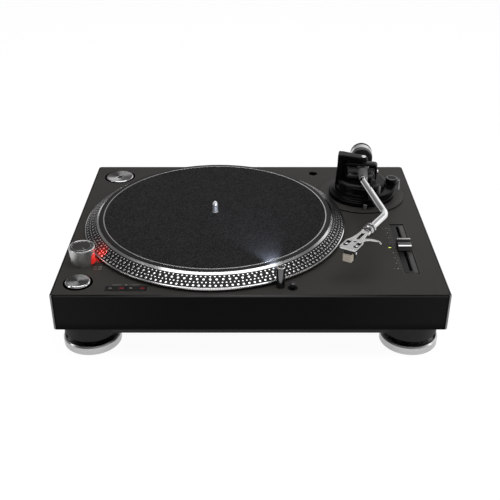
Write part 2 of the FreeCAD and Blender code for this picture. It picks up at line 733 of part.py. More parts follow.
def make_fader():
    middle = (d.fader_left + d.fader_right) / 2
    slot = d.slot_wide / 2
    top = deck - d.fader_sunk
    plate = box(d.fader_left, d.fader_right, d.fader_front, d.fader_back, top - d.fader_plate, top)
    opening = box(middle - slot, middle + slot, d.slot_front, d.slot_back, top - 5, top + 5)
    node("fader_plate", cut(plate, opening))
    body = box(middle - 6, middle + 6, d.slot_front - 5, d.slot_back + 5, deck_low - 13, deck_low - 0.2)
    groove = box(middle - 1.7, middle + 1.7, d.slot_front, d.slot_back, deck_low - 10, deck_low + 1)
    node("fader_pot", cut(body, groove))
    half = d.knob_long / 2
    high = deck + d.knob_high
    cap = side_slab([
        (d.knob_y - half, deck + 0.4), (d.knob_y + half, deck + 0.4), (d.knob_y + half, high - 0.8),
        (d.knob_y + half - 0.8, high), (d.knob_y + half - 3, high), (d.knob_y + half - 4.2, high - 3.4),
        (d.knob_y + half - 6.8, high - 3.4), (d.knob_y + half - 7.8, high - 1.6),
        (d.knob_y - half + 3.4, high - 2.2), (d.knob_y - half + 2.4, high - 3)],
        middle - d.knob_wide / 2, middle + d.knob_wide / 2)
    stem_half = d.stem_wide / 2
    stem = box(
        middle - stem_half, middle + stem_half, d.knob_y - d.stem_long / 2,
        d.knob_y + d.stem_long / 2, deck + d.stem_low, deck + 1)
    node("fader_knob", join(cap, stem))


# Tonearm base, drawn about the pivot and turned with the arm's rest heading: x to the
# right of the arm, y backwards, heights above the deck.

base_at = Placement(
    Vector(d.pivot_x.value, d.pivot_y.value, deck.value),
    Rotation(Vector(0, 0, 1), -d.rest_heading.value))
LIFT_R = 37.0
WING_R = 44.8
LIFT_STEM = (24.0, -28.2)
LOCK_X = 8.3


def make_arm_base_ring():
    ring = turned([
        (d.column_r + d.run_gap, -9), (d.column_r + 0.95, -9), (d.column_r + 0.95, 0), (d.base_r, 0),
        (d.base_r, d.base_thick - 0.4), (d.base_r - 0.4, d.base_thick),
        (d.column_r + d.run_gap, d.base_thick)])
    lug = box(LOCK_X - 3.6, LOCK_X + 3.6, -48.2, -46.0, d.base_thick, 7)
    hole = rod(1.26, -49, -45.5, LOCK_X, 0, 4.6, "y")
    return node("arm_base_ring", cut(join(ring, lug), hole), base_at)


def make_height_ring():
    bore = d.column_r + d.run_gap
    ring = turned([
        (bore, d.grip_low), (d.grip_r - 0.6, d.grip_low), (d.grip_r, d.grip_low + 0.6),
        (d.grip_r, d.grip_mid), (d.grip_r - 0.8, d.grip_mid + 0.8), (d.grip_top_r + 0.8, d.grip_mid + 1.4),
        (d.grip_top_r, d.grip_mid + 2.2), (d.grip_top_r - 0.2, d.grip_high - 0.6),
        (d.grip_top_r - 0.8, d.grip_high), (bore, d.grip_high)])
    return node("height_ring", ring, base_at)


def pedestal_solid():
    inner = d.column_r - d.column_wall
    column = turned([
        (inner, d.column_low), (d.column_r, d.column_low), (d.column_r, d.dome_low),
        (d.dome_r + 0.4, d.dome_low + 1), (d.dome_r, d.dome_high), (d.dome_r - 1.2, d.column_high),
        (0, d.column_high), (0, 18), (inner, 18)])
    post = cone(3.4, 2.0, d.column_high - 1, d.column_high + 2)
    tip = rod(2.0, d.column_high + 1, d.pivot_high + d.yoke_low + 2.4)
    turns = [math.radians(t) for t in range(0, -61, -6)]
    edge = [(WING_R * math.cos(t), WING_R * math.sin(t)) for t in turns]
    shoulder = [(16, 12), (31.5, 12), (33.5, 18), (37, 19.4), (45.4, 18), (46.6, 12), (46.2, 4)]
    wing = slab(shoulder + edge + [(16, -30)], d.wing_low, d.wing_high - 0.5)
    inset = [(x * 0.985, y * 0.985) for x, y in edge]
    face = slab([(16, 11.5), (31.2, 11.5), (33.9, 17.4), (37, 18.8), (45, 17.5), (46, 12), (45.6, 4)] + inset
                + [(16, -29.4)], d.wing_high - 1, d.wing_high)
    lip = turned([
        (WING_R - 2.4, 9.6), (WING_R, 9.0), (WING_R, d.wing_low + 1), (WING_R - 2.4, d.wing_low + 1)], 60.0)
    lip.Placement = Placement(Vector(), Rotation(Vector(0, 0, 1), -60.0))
    rest_tab = slab([(6, -48.6), (20, -48.6), (22, -30), (6, -26)], d.wing_low, d.wing_high - 1.4)
    holes = [
        rod(2.06, 10, 20, d.antiskate_x, d.antiskate_y),
        rod(2.58, 10, 20, *LIFT_STEM),
        rod(1.56, 40, 50, 0, 20, 14.8, "x"),
    ]
    return cut(join(column, post, tip, wing, face, lip, rest_tab), *holes)


def make_bridge():
    foot = front_slab([(-37, 13.2), (-26, 13.2), (-26, 51), (-35, 51), (-35, 44)], -1, 14.5)
    arm = slab([
        (-35, -1), (-35, 15.5), (-28, 15.5), (0.5, 5.6), (5.8, 0), (3.6, -4.8), (-4, -5.6), (-27, -1)],
               50, 57)
    # the leg's inner rib stands just outside the circle that the gimbal sweeps
    rib = slab([(-30, 8.6), (-24.2, 8.6), (-22.5, 12.4), (-21.2, 14.5), (-30, 14.5)], 23, 51)
    frame = rounded(
        join(foot, arm, rib), 3.0,
        lambda e: all(v.X < -34.9 and v.Z > 56.9 for v in e.Vertexes))
    bore = rod(2.6, 49, 58)
    return frame, bore


def make_pedestal_and_bridge():
    pedestal = pedestal_solid()
    node("arm_pedestal", pedestal, base_at)
    frame, bore = make_bridge()
    fitted = cut(frame, bore, pedestal, rod(31, 10, 19))
    node("gimbal_bridge", fitted, base_at)
    high = 58.0
    screw = join(
        rod(2.55, 49.5, 57.2), rod(2.0, d.pivot_high + d.yoke_high - 2.6, 49.6), rod(3.4, 57.1, high))
    slot = box(-3.5, 3.5, -0.4, 0.4, high - 0.6, high + 1)
    node("top_pivot_screw", cut(screw, slot), base_at)


def make_arm_rest():
    post = box(11.4, 15.4, -47.4, -40.6, d.wing_high - 1.4, 31)
    cradle = front_slab([
        (2.5, 28.4), (15.4, 28.4), (17.4, 34), (17.4, 44.6), (15.2, 45.4), (13.2, 44.2),
        (13.2, 34.5), (11.2, 31.0), (2.5, 30.4)], -47.4, -40.6)
    notch = box(12.6, 18, -45.5, -42.5, 40.5, 47)
    hole = rod(1.06, -48.5, -40, 15.3, 0, 42.6, "y")
    return node("arm_rest", cut(join(post, cradle), notch, hole), base_at)


def make_arm_clip():
    pin = rod(1.0, -47.6, -40.4, 15.3, 0, 42.6, "y")
    hook = front_slab([
        (14.3, 41.4), (16.2, 41.4), (17.0, 44), (17.0, 52), (15.2, 54.6), (12.2, 55.4), (11.8, 54.2),
        (14.2, 52.9), (15.1, 50.8), (15.0, 45)], -45.4, -42.6)
    return node("arm_clip", join(pin, hook), base_at)


def make_lift_bar():
    body = new_body("lift_arc")
    sketch = draw_outline(body, "XZ_Plane", [
        (LIFT_R - 1.8, 27.6), (LIFT_R + 1.8, 27.6), (LIFT_R + 1.8, 30.0), (LIFT_R + 1.2, 30.6),
        (LIFT_R - 1.2, 30.6), (LIFT_R - 1.8, 30.0)])
    doc.recompute()
    spin = body.newObject("PartDesign::Revolution", fresh("spin"))
    spin.Profile = sketch
    spin.ReferenceAxis = (sketch, ["V_Axis"])
    spin.Angle = 88.0
    spin.Reversed = True
    doc.recompute()
    body.Placement = Placement(Vector(), Rotation(Vector(0, 0, 1), -48.0))
    stem = rod(2.5, 13, 29, *LIFT_STEM)
    return node("lift_bar", join(body, stem), base_at)


def make_cue_lever():
    hub = rod(4.0, 49.0, 51.8, 0, 20, 14.8, "x")
    shaft = rod(1.5, 42.0, 49.5, 0, 20, 14.8, "x")
    blade = side_slab([(20, 12.6), (20, 17), (-4, 15.6), (-9, 16.4), (-9, 13.0), (-4, 12.8)], 49.0, 51.8)
    return node("cue_lever", join(hub, shaft, blade), base_at)


def make_antiskate_dial():
    low, high = d.wing_high + 0.2, d.antiskate_high
    dial = put(turned([
        (0, low), (d.antiskate_r, low), (d.antiskate_r, high - 0.7), (d.antiskate_r - 0.7, high),
        (6.2, high), (5.8, high - 0.4), (0, high - 0.4)]), d.antiskate_x, d.antiskate_y)
    shaft = rod(2.0, 12.8, low + 1, d.antiskate_x, d.antiskate_y)
    return node("antiskate_dial", join(dial, shaft), base_at)


def make_height_lock():
    shaft = rod(1.2, -50, -46.4, LOCK_X, 0, 4.6, "y")
    blade = box(LOCK_X - 2.3, LOCK_X + 2.3, -50.8, -48.5, 2.2, 9.6)
    blade = rounded(blade, 1.4, lambda e: abs(e.Vertexes[0].Y - e.Vertexes[-1].Y) > 2)
    return node("height_lock", join(blade, shaft), base_at)


# Tonearm, drawn about the pivot: the gimbal turns level, and everything behind arm_at
# also tilts. The barrel and tube run forwards along -Y in barrel_at.

pivot_at = Placement(
    Vector(d.pivot_x.value, d.pivot_y.value, (deck + d.pivot_high).value),
    Rotation(Vector(0, 0, 1), -d.rest_heading.value))
arm_at = pivot_at.multiply(Placement(Vector(), Rotation(Vector(1, 0, 0), -d.rest_tilt.value)))
barrel_at = arm_at.multiply(Placement(Vector(), Rotation(Vector(0, 0, 1), d.barrel_turn.value)))
shell_at = arm_at.multiply(Placement(
    Vector(-d.tip_side.value, -d.arm_reach.value, 0), Rotation(Vector(0, 0, 1), -d.shell_turn.value)))
rear_turn = Rotation(Vector(1, 0, 0), -d.rear_droop.value)
rear_at = barrel_at.multiply(Placement(Vector(), rear_turn))
along_barrel = Rotation(Vector(1, 0, 0), 90)
ALONG = Placement(Vector(), along_barrel)


def make_gimbal_ring():
    left, right, wall = d.yoke_left, d.yoke_right, d.yoke_wall
    deep = d.yoke_deep / 2
    outside = box(-left, right, -deep, deep, d.yoke_low, d.yoke_high)
    outside = rounded(
        outside, 5.0, lambda e: abs(e.Vertexes[0].Y - e.Vertexes[-1].Y) > 5)
    inside = rounded(
        box(wall - left, right - wall, -deep - 1, deep + 1, d.yoke_in_low, d.yoke_in_high), 1.5,
        lambda e: abs(e.Vertexes[0].Y - e.Vertexes[-1].Y) > 5)
    boss = rod(4.6, d.yoke_low, d.yoke_in_low + 0.1)
    webs = [
        box(wall - left - 0.1, -8, -5, 5, d.yoke_in_high - 2.5, d.yoke_in_high + 0.1),
        box(8, right - wall + 0.1, -5, 5, d.yoke_in_high - 2.5, d.yoke_in_high + 0.1),
    ]
    holes = [
        rod(2.05, d.yoke_high - 2.8, d.yoke_high + 1),
        rod(2.05, d.yoke_low - 1, d.yoke_low + 2.6),
        rod(2.45, -left - 1, right + 1, 0, 0, 0, "x"),
        rod(3.25, -left - 1, 1.65 - left, 0, 0, 0, "x"),
    ]
    return node("gimbal_ring", cut(join(cut(outside, inside), boss, *webs), *holes), pivot_at)


def side_screw(out, head_low, head_high, side):
    """A pivot screw through the yoke's wall: its head spans the two heights along X."""
    tip_root = out - d.yoke_wall.value
    body = rod(2.4, *sorted((side * head_high, side * tip_root)), 0, 0, 0, "x")
    head = rod(3.2, *sorted((side * head_low, side * head_high)), 0, 0, 0, "x")
    tip = rod(d.axle_tip_r, *sorted((side * tip_root, side * (tip_root - 2.4))), 0, 0, 0, "x")
    slot = box(*sorted((side * (head_high - 0.7), side * (head_high + 1))), -3.4, 3.4, -0.35, 0.35)
    return cut(join(body, head, tip), slot)


def make_side_pivot_screws():
    left, right = d.yoke_left.value, d.yoke_right.value
    sunk = side_screw(left, left - 1.6, left - 0.1, -1)
    proud = side_screw(right, right + 0.05, right + 1.6, 1)
    return node("side_pivot_screws", group(sunk, proud), pivot_at)


def make_pivot_block():
    bullet = turned([
        (0, -13.5), (4.2, -13.5), (d.block_r, -9.5), (d.block_r, 12), (d.block_r - 0.7, 24), (5.6, 33),
        (d.tube_r + 0.05, 33), (d.tube_r + 0.05, d.tube_start - 0.1), (0, d.tube_start - 0.1)])
    bullet.Placement = ALONG
    shaft = moved(rod(d.shaft_r, 11, d.shaft_end, 0, 0, 0, "y"), Placement(Vector(), rear_turn))
    turn_back = Placement(Vector(), Rotation(Vector(0, 0, 1), -d.barrel_turn.value))
    left = d.yoke_left - d.yoke_wall - 0.5
    right = d.yoke_right - d.yoke_wall - 0.5
    bore = d.axle_tip_r + 0.06
    axle = moved(
        cut(join(rod(d.axle_r, -left, 0, 0, 0, 0, "x"), rod(3.2, 0, right, 0, 0, 0, "x")),
            rod(bore, -left - 1, 3 - left, 0, 0, 0, "x"),
            rod(bore, right - 3, right + 1, 0, 0, 0, "x")), turn_back)
    return node("pivot_block", join(bullet, shaft, axle), barrel_at)


def arm_path():
    """Centre line of the arm tube in the barrel's frame, ending inside the collar.

    Straight out of the barrel, a small bend to the right, and the elbow back to the
    left, with each bend a true arc between its two straight runs.
    """
    turn_shell = math.radians((d.shell_turn + d.barrel_turn).value)
    turn_back = Rotation(Vector(0, 0, 1), -d.barrel_turn.value)
    stylus = turn_back.multVec(Vector(-d.tip_side.value, -d.arm_reach.value, 0))
    back = Vector(math.sin(turn_shell), math.cos(turn_shell), 0)
    end = stylus + back * (d.collar_front.value + 2)
    start = Vector(0, -d.tube_start.value, 0)
    first = Vector(0, -d.first_bend_at.value, 0)
    slant = math.radians(d.first_bend.value)
    out = Vector(math.sin(slant), -math.cos(slant), 0)
    # the elbow is where the slanted run meets the headshell's own line
    across = out.x * back.y - out.y * back.x
    gap = end - first
    run = (gap.x * back.y - gap.y * back.x) / across
    elbow = first + out * run
    return [start, first, elbow, end]


def bent_wire(points, radii):
    edges = []
    last = points[0]
    for corner, after, radius in zip(points[1:-1], points[2:], radii):
        into = (corner - last).normalize()
        away = (after - corner).normalize()
        turn = math.acos(max(-1.0, min(1.0, into.dot(away))))
        trim = radius * math.tan(turn / 2)
        p_in = corner - into * trim
        p_out = corner + away * trim
        chord = (away - into).normalize()
        middle = corner + chord * (radius / math.cos(turn / 2) - radius)
        edges.append(Part.LineSegment(last, p_in).toShape())
        edges.append(Part.Arc(p_in, middle, p_out).toShape())
        last = p_out
    edges.append(Part.LineSegment(last, points[-1]).toShape())
    return Part.Wire(edges)


def make_arm_tube():
    spine = bent_wire(arm_path(), (40.0, 24.0))
    start = spine.Vertexes[0].Point
    outer = d.tube_r.value
    inner = outer - d.tube_wall.value
    skins = []
    for radius in (outer, inner):
        ring = Part.Wire(Part.makeCircle(radius, start, Vector(0, -1, 0)))
        skins.append(spine.makePipeShell([ring], True, False))
    tube = doc.addObject("Part::Feature", "arm_tube_shape")
    tube.Shape = skins[0].cut(skins[1])
    length = spine.Length
    wanted = math.pi * (outer ** 2 - inner ** 2) * length
    print(f"arm tube {length:.1f} long, volume {tube.Shape.Volume:.1f} of {wanted:.1f}")
    return node("arm_tube", tube, barrel_at)


def make_counterweight():
    bore = d.shaft_r + 0.07
    weight = turned([
        (bore, d.weight_front), (d.weight_r - 0.8, d.weight_front), (d.weight_r, d.weight_front + 0.8),
        (d.weight_r, d.weight_back - 5), (d.weight_r - 0.6, d.weight_back - 4.6),
        (d.weight_r - 0.6, d.weight_back - 4), (d.weight_r, d.weight_back - 3.6),
        (d.weight_r, d.weight_back - 1), (d.weight_r - 1, d.weight_back),
        (6.5, d.weight_back), (6, d.weight_back - 1), (bore, d.weight_back - 1)])
    weight.Placement = Placement(Vector(), Rotation(Vector(1, 0, 0), -90))
    return node("counterweight", weight, rear_at)


def make_pressure_dial():
    bore = d.shaft_r + 0.07
    dial = turned([
        (bore, d.scale_front + 1.4), (8, d.scale_front), (d.scale_r - 1, d.scale_front),
        (d.scale_r, d.scale_front + 1), (d.scale_r, d.weight_front - 0.3), (bore, d.weight_front - 0.3)])
    dial.Placement = Placement(Vector(), Rotation(Vector(1, 0, 0), -90))
    return node("pressure_dial", dial, rear_at)


def make_shell_collar():
    front, back = d.collar_front, d.collar_back
    bore = d.tube_r + d.run_gap
    collar = turned([
        (d.plug_r + 0.5, front), (d.collar_r - 1.2, front), (d.collar_r, front + 1.2),
        (d.collar_r, back - 3.4), (d.collar_r - 0.9, back - 2.6), (d.collar_r - 1.4, back),
        (bore, back), (bore, front + 1.4), (d.plug_r + 0.5, front + 1.4)])
    collar.Placement = Placement(Vector(), Rotation(Vector(1, 0, 0), -90))
    return node("shell_collar", collar, shell_at)


def make_headshell():
    front = -d.shell_front
    half = d.shell_half
    top = d.shell_top
    tail = d.shell_tail
    neck_half = d.neck_wide_r - 1
    plate = slab([
        (1.3 - half, front), (half - 1.3, front), (half, front + 3), (half, 14.8), (8.2, 20.2), (6, 30.5),
        (neck_half, 43), (neck_half, tail - 2), (-neck_half, tail - 2), (-neck_half, 43), (-6, 30.5),
        (-8.2, 20.2), (-half, 14.8), (-half, front + 3)], top - d.shell_thick, top)
    plug = rod(d.plug_r, 40, 61, 0, 0, 0, "y")
    neck = turned([
        (0, 27), (2.4, 27), (d.neck_wide_r, 44), (d.neck_wide_r, tail - 1.3), (d.neck_wide_r - 0.9, tail),
        (0, tail)])
    neck.Placement = Placement(Vector(), Rotation(Vector(1, 0, 0), -90))
    flat = box(-12, 12, 26, tail + 1, top, 10)
    shell = cut(join(plate, neck), flat)
    openings = [rod(1.7, -8, 10, 0, 14.6), box(-1.8, 1.8, 21, 38.6, -8, 10)]
    for side in (-1, 1):
        x = d.screw_half * side
        openings.append(box(
            x - d.recess_half, x + d.recess_half, d.recess_front, d.recess_back, top - d.recess_deep, 10))
        openings.append(box(x - 1.6, x + 1.6, d.recess_front + 1, d.recess_back - 1, -8, 10))
    lift = slab([
        (6.6, 26.5), (11, 28.8), (15, 30.4), (19, 30.6), (23, 30.1), (26.4, 28), (28.4, 25.4), (27.4, 24.2),
        (25.2, 26.2), (22.4, 27.6), (18.6, 27.6), (14.5, 26.8), (11.4, 24.6), (8.6, 21.2), (6.6, 19.5)],
        top - 1.5, top)
    return node("headshell", cut(join(shell, plug, lift), *openings), shell_at)


def make_cartridge():
    half = d.body_wide / 2
    low = -d.body_high
    hold = d.needle_back + 0.05
    body = box(-half, half, 0.4, d.body_back, low, 0)
    nose = box(1 - half, half - 1, 1.4 - d.needle_front, 0.5, 0.05 - d.needle_top, -1.2)
    guard = box(-half, half, hold, hold + 5, d.guard_low, low + 0.1)
    ears = [
        box(s * d.screw_half - 2.7, s * d.screw_half + 2.7, d.screw_back - 3.2, d.screw_back + 3.2, -2.6, 0)
        for s in (-1, 1)]
    holes = [rod(1.25, low - 1.7, 2, d.screw_half * s, d.screw_back) for s in (-1, 1)]
    pins = [
        rod(0.6, d.body_back - 0.6, d.body_back + 4, x, 0, z, "y") for x in (-2.4, 2.4) for z in (-2, -4.8)]
    return node("cartridge", cut(join(body, nose, guard, *ears, *pins), *holes), shell_at)


def make_stylus():
    half = d.needle_wide / 2
    under = -d.body_high - 0.05
    high, low = -d.needle_top, -d.needle_drop
    block = side_slab([
        (-d.needle_front, high), (0.35, high), (0.35, under), (d.needle_back, under), (d.needle_back, low),
        (-d.needle_front, low)], -half, half)
    arm = side_slab([
        (2.2, low + 0.4), (2.2, low - 0.2), (0.4, -d.tip_drop + 0.7), (-0.5, -d.tip_drop + 0.6),
        (-0.5, -d.tip_drop + 1)], -0.35, 0.35)
    tip = cone(0.12, 0.32, -d.tip_drop, -d.tip_drop + 0.8)
    return node("stylus", join(block, arm, tip), shell_at)


def make_cartridge_screws():
    seat = d.shell_top - d.recess_deep
    head_high = seat + 1.7
    screws = []
    for side in (-1, 1):
        x = d.screw_half * side
        head = rod(2.2, seat, head_high, x, d.screw_back)
        shank = rod(1.2, -d.body_high - 1.6, seat + 0.2, x, d.screw_back)
        slot = box(x - 2.5, x + 2.5, d.screw_back - 0.3, d.screw_back + 0.3, head_high - 0.6, head_high + 1)
        screws.append(cut(join(head, shank), slot))
    return node("cartridge_screws", group(*screws), shell_at)


make_top_case()
make_bottom_case()
make_case_screws()
make_feet()
make_platter()
make_platter_mat()
make_spindle()
make_spindle_bearing()
make_rotor_magnet()
make_motor_stator()
make_main_board()
make_power_supply()
make_rear_panel()
make_output_jacks()
make_ground_screw()
make_usb_socket()
make_mains_inlet()
make_line_switch()
make_strobe_tower()
make_strobe_window()
make_power_dial()
make_start_button()
make_speed_keys()
make_stylus_light()
make_light_button()
make_adapter()
make_fader()
make_arm_base_ring()
make_height_ring()
make_pedestal_and_bridge()
make_arm_rest()
make_arm_clip()
make_lift_bar()
make_cue_lever()
make_antiskate_dial()
make_height_lock()
make_gimbal_ring()
make_side_pivot_screws()
make_pivot_block()
make_arm_tube()
make_counterweight()
make_pressure_dial()
make_shell_collar()
make_headshell()
make_cartridge()
make_stylus()
make_cartridge_screws()
doc.recompute()

for thing in doc.Objects:
    if "Invalid" in thing.State or "Error" in thing.State:
        raise SystemExit(f"{thing.Name} ({thing.Label}) failed: {thing.State}")
for name, thing in nodes.items():
    if thing.Shape.isNull() or not thing.Shape.isValid() or not thing.Shape.Solids:
        raise SystemExit(f"{name} has no valid solid")

os.makedirs("parts", exist_ok=True)
for name, thing in nodes.items():
    thing.Shape.exportStep(f"parts/{name}.step")
print(f"{len(nodes)} nodes written")
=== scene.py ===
import json
import math

import bmesh
import bpy
import numpy as np
from mathutils import Matrix, Vector
from mathutils.geometry import tessellate_polygon


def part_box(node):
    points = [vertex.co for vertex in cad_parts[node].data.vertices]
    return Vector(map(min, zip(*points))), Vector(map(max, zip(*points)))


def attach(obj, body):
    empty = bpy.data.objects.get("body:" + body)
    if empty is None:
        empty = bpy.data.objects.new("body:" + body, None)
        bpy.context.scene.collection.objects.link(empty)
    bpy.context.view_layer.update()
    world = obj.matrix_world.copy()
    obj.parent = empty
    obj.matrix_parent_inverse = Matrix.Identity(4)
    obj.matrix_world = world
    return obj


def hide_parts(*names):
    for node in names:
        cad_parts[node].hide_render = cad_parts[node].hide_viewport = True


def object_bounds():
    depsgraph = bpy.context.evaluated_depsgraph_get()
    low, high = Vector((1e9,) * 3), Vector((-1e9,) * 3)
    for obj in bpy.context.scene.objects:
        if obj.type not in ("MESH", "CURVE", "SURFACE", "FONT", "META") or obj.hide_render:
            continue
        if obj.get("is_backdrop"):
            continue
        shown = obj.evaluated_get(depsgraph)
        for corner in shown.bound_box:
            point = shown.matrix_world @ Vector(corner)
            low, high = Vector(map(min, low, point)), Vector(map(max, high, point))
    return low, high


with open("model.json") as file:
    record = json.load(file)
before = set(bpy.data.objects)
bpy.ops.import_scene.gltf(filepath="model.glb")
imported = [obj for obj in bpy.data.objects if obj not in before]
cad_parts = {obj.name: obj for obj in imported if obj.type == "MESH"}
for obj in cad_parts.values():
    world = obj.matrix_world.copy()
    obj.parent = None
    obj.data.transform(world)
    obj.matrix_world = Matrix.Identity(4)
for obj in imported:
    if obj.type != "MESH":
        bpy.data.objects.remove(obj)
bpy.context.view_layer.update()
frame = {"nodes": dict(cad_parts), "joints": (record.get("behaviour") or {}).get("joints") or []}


# The cabinet is one die-cast and moulded shell whose top is the deck. Satin warm grey paint
# covers the flat deck, and its rounded edges and its sides are black. Painted highlights lie on
# the front lip and down the two front corners, and the front face is painted lighter towards its
# ends as light from the sides. Its own solid stays, with its wells, recesses and screw bosses,
# and a painted finish.
MM = 0.001
nodes = frame["nodes"]
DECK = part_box("top_case")[1].z / MM


def add(tree, kind, **words):
    """One shader node. Words in lower case are its settings and the others its sockets, and
    a socket given as a word's value is linked."""
    made = tree.nodes.new("ShaderNode" + kind)
    for word in sorted(words, key=lambda w: not w[0].islower()):
        value = words[word]
        if word[0].islower():
            setattr(made, word, value)
            continue
        plain = word.replace("_", " ")
        socket = next(s for s in made.inputs if plain in (s.name, s.identifier.replace("_", " ")))
        if isinstance(value, bpy.types.NodeSocket):
            tree.links.new(value, socket)
        else:
            socket.default_value = value
    return made


def ramp(tree, value, start, end, low=0.0, high=1.0, **more):
    """A value that goes from low to high while another goes from start to end."""
    return add(tree, "MapRange", Value=value, From_Min=start, From_Max=end, To_Min=low, To_Max=high,
               **more).outputs[0]


def combined(tree, operation, *values):
    """One, two or three values combined by a Math operation."""
    sockets = dict(zip(("Value", "Value_001", "Value_002"), values))
    return add(tree, "Math", operation=operation, **sockets).outputs[0]


def tinted(tree, share, colour, other):
    """A colour between two, each a tuple, one grey level or another node's colour."""
    first, second = ((*np.broadcast_to(c, 3).tolist(), 1) if np.ndim(c) or np.isscalar(c) else c
                     for c in (colour, other))
    return add(tree, "Mix", data_type="RGBA", Factor_Float=share, A_Color=first, B_Color=second).outputs[2]


def blank(name, gloss=0.5, metal=0.0, **sockets):
    """A new material with its Principled shader, whose uniform values are the words."""
    material = bpy.data.materials.new(name)
    material.use_nodes = True
    tree = material.node_tree
    tree.nodes.clear()
    shader = add(tree, "BsdfPrincipled", Specular_IOR_Level=gloss, Metallic=metal, **sockets)
    add(tree, "OutputMaterial", Surface=shader.outputs[0])
    return material, tree, shader


def drift(tree, vector, colour, other, size):
    """Colour that wanders between two tints in patches of that size in millimetres."""
    patches = add(tree, "TexNoise", Vector=vector, Scale=1 / (size * MM), Detail=3.0)
    return tinted(tree, patches.outputs[0], colour, other), patches.outputs[0]


def grain(tree, shader, vector, size, depth, rough):
    """A fine bump of noise, with grains of that size and depth in millimetres, which also
    moves the roughness between the two values of rough."""
    noise = add(tree, "TexNoise", Vector=vector, Scale=1 / (size * MM), Detail=4.0)
    bump = add(tree, "Bump", Height=noise.outputs[0], Distance=depth * MM)
    tree.links.new(bump.outputs[0], shader.inputs["Normal"])
    tree.links.new(ramp(tree, noise.outputs[0], 0.3, 0.7, *rough), shader.inputs["Roughness"])


def dress(material, *names):
    """Gives a finish to solids that keep their own shape."""
    for name in names:
        for holder in nodes[name].material_slots:
            holder.material = material


DECK_GREY = ((0.053, 0.051, 0.0465), (0.045, 0.0432, 0.0395))
SIDE_BLACK = (0.0036, 0.005)


def edge_mask(tree, value, start, end):
    """0 where the value is at start and 1 where it is at end, both in millimetres."""
    return ramp(tree, value, start * MM, end * MM)


def deck_paint(name, height, **sockets):
    """Grey above the given height in millimetres and black below it, with a fine orange peel.
    Returns the material with its tree, its shader, its coordinates and its tint."""
    material, tree, shader = blank(name, **sockets)
    vector = add(tree, "TexCoord").outputs["Object"]
    above, below = drift(tree, vector, *DECK_GREY, 45)[0], drift(tree, vector, *SIDE_BLACK, 60)[0]
    level = add(tree, "SeparateXYZ", Vector=vector)
    top = edge_mask(tree, level.outputs[2], height - 0.25, height - 0.12)
    tint = tinted(tree, top, below, above)
    tree.links.new(tint, shader.inputs["Base Color"])
    grain(tree, shader, vector, 0.45, 0.012, (0.34, 0.46))
    return material, tree, shader, level, tint


case_paint_and_highlights, tree, shader, level, tint = deck_paint("case_paint_and_highlights", DECK, gloss=0.06)
HALF_WIDE, HALF_DEEP = (-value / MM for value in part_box("top_case")[0][:2])
SIDE_BAND, FRONT_BAND, CORNER_STRIP = 2.7, 2.2, 3.0
side, deep, high = combined(tree, "ABSOLUTE", level.outputs[0]), level.outputs[1], level.outputs[2]


def masked(*masks):
    """The product of masks in the cabinet's paint: each is a value with where it is 0 and
    where it is 1, or a mask made before."""
    masks = [edge_mask(tree, *mask) if isinstance(mask, tuple) else mask for mask in masks]
    return masks[0] if len(masks) == 1 else combined(tree, "MULTIPLY", *masks)


STRIP = HALF_WIDE - CORNER_STRIP
wall = masked((deep, 3.0 - HALF_DEEP, 2.6 - HALF_DEEP), (high, DECK - 0.12, DECK - 0.25))
middle = masked(wall, (side, 165, 10))
outer = combined(tree, "MAXIMUM", masked((side, HALF_WIDE - SIDE_BAND - 0.2, HALF_WIDE - SIDE_BAND)),
                 masked((deep, HALF_DEEP - 1.6, HALF_DEEP - 1.4)))
BAND = DECK - FRONT_BAND
# Over that paint: the front face is near black, painted lighter towards its two ends as light from the sides,
# and darker along its lowest few millimetres. The front lip is paler and brightest in its middle, as a painted
# highlight. Beside each front corner the front face has a near-black band, and a pale strip runs down the
# corner as a painted highlight.
for mask, grey in (
        (wall, 0.0018), (masked(wall, (side, 90, 215)), 0.0095), (masked(wall, (high, 50, 43)), 0.0008),
        (masked((deep, 0.6 - HALF_DEEP, 0.3 - HALF_DEEP), (high, BAND - 0.3, BAND)), 0.035),
        (masked(middle, (high, BAND, BAND + 0.3)), 0.085), (outer, 0.0036),
        (masked((side, STRIP - 1.8, STRIP - 1.5), wall), 0.001),
        (masked((side, STRIP, STRIP + 0.3), (deep, 1.9 - HALF_DEEP, 1.5 - HALF_DEEP)), 0.3)):
    tint = tinted(tree, mask, tint, grey)
tree.links.new(tint, shader.inputs["Base Color"])
dress(case_paint_and_highlights, "top_case")


# The floor of the cabinet is a black ribbed moulding with a shallow belly and air slots,
# held by eight sunk screws. The tray at the back and the fader's track are the same plastic.
def finish(name, colour, other, patch, size, depth, rough, **sockets):
    """A material of one stuff: drifting colour, fine grain and uneven roughness."""
    material, tree, shader = blank(name, **sockets)
    vector = add(tree, "TexCoord").outputs["Object"]
    tree.links.new(drift(tree, vector, colour, other, patch)[0], shader.inputs["Base Color"])
    grain(tree, shader, vector, size, depth, rough)
    return material


moulded_black = finish("moulded_black", 0.010, 0.016, 30, 0.35, 0.02, (0.42, 0.6), gloss=0.3)
screw_steel = finish("screw_steel", (0.42, 0.42, 0.43), (0.3, 0.3, 0.31), 2, 0.2, 0.01,
                     (0.25, 0.45), metal=1.0)
dress(moulded_black, "bottom_case", "rear_panel", "fader_pot")
dress(screw_steel, "case_screws")


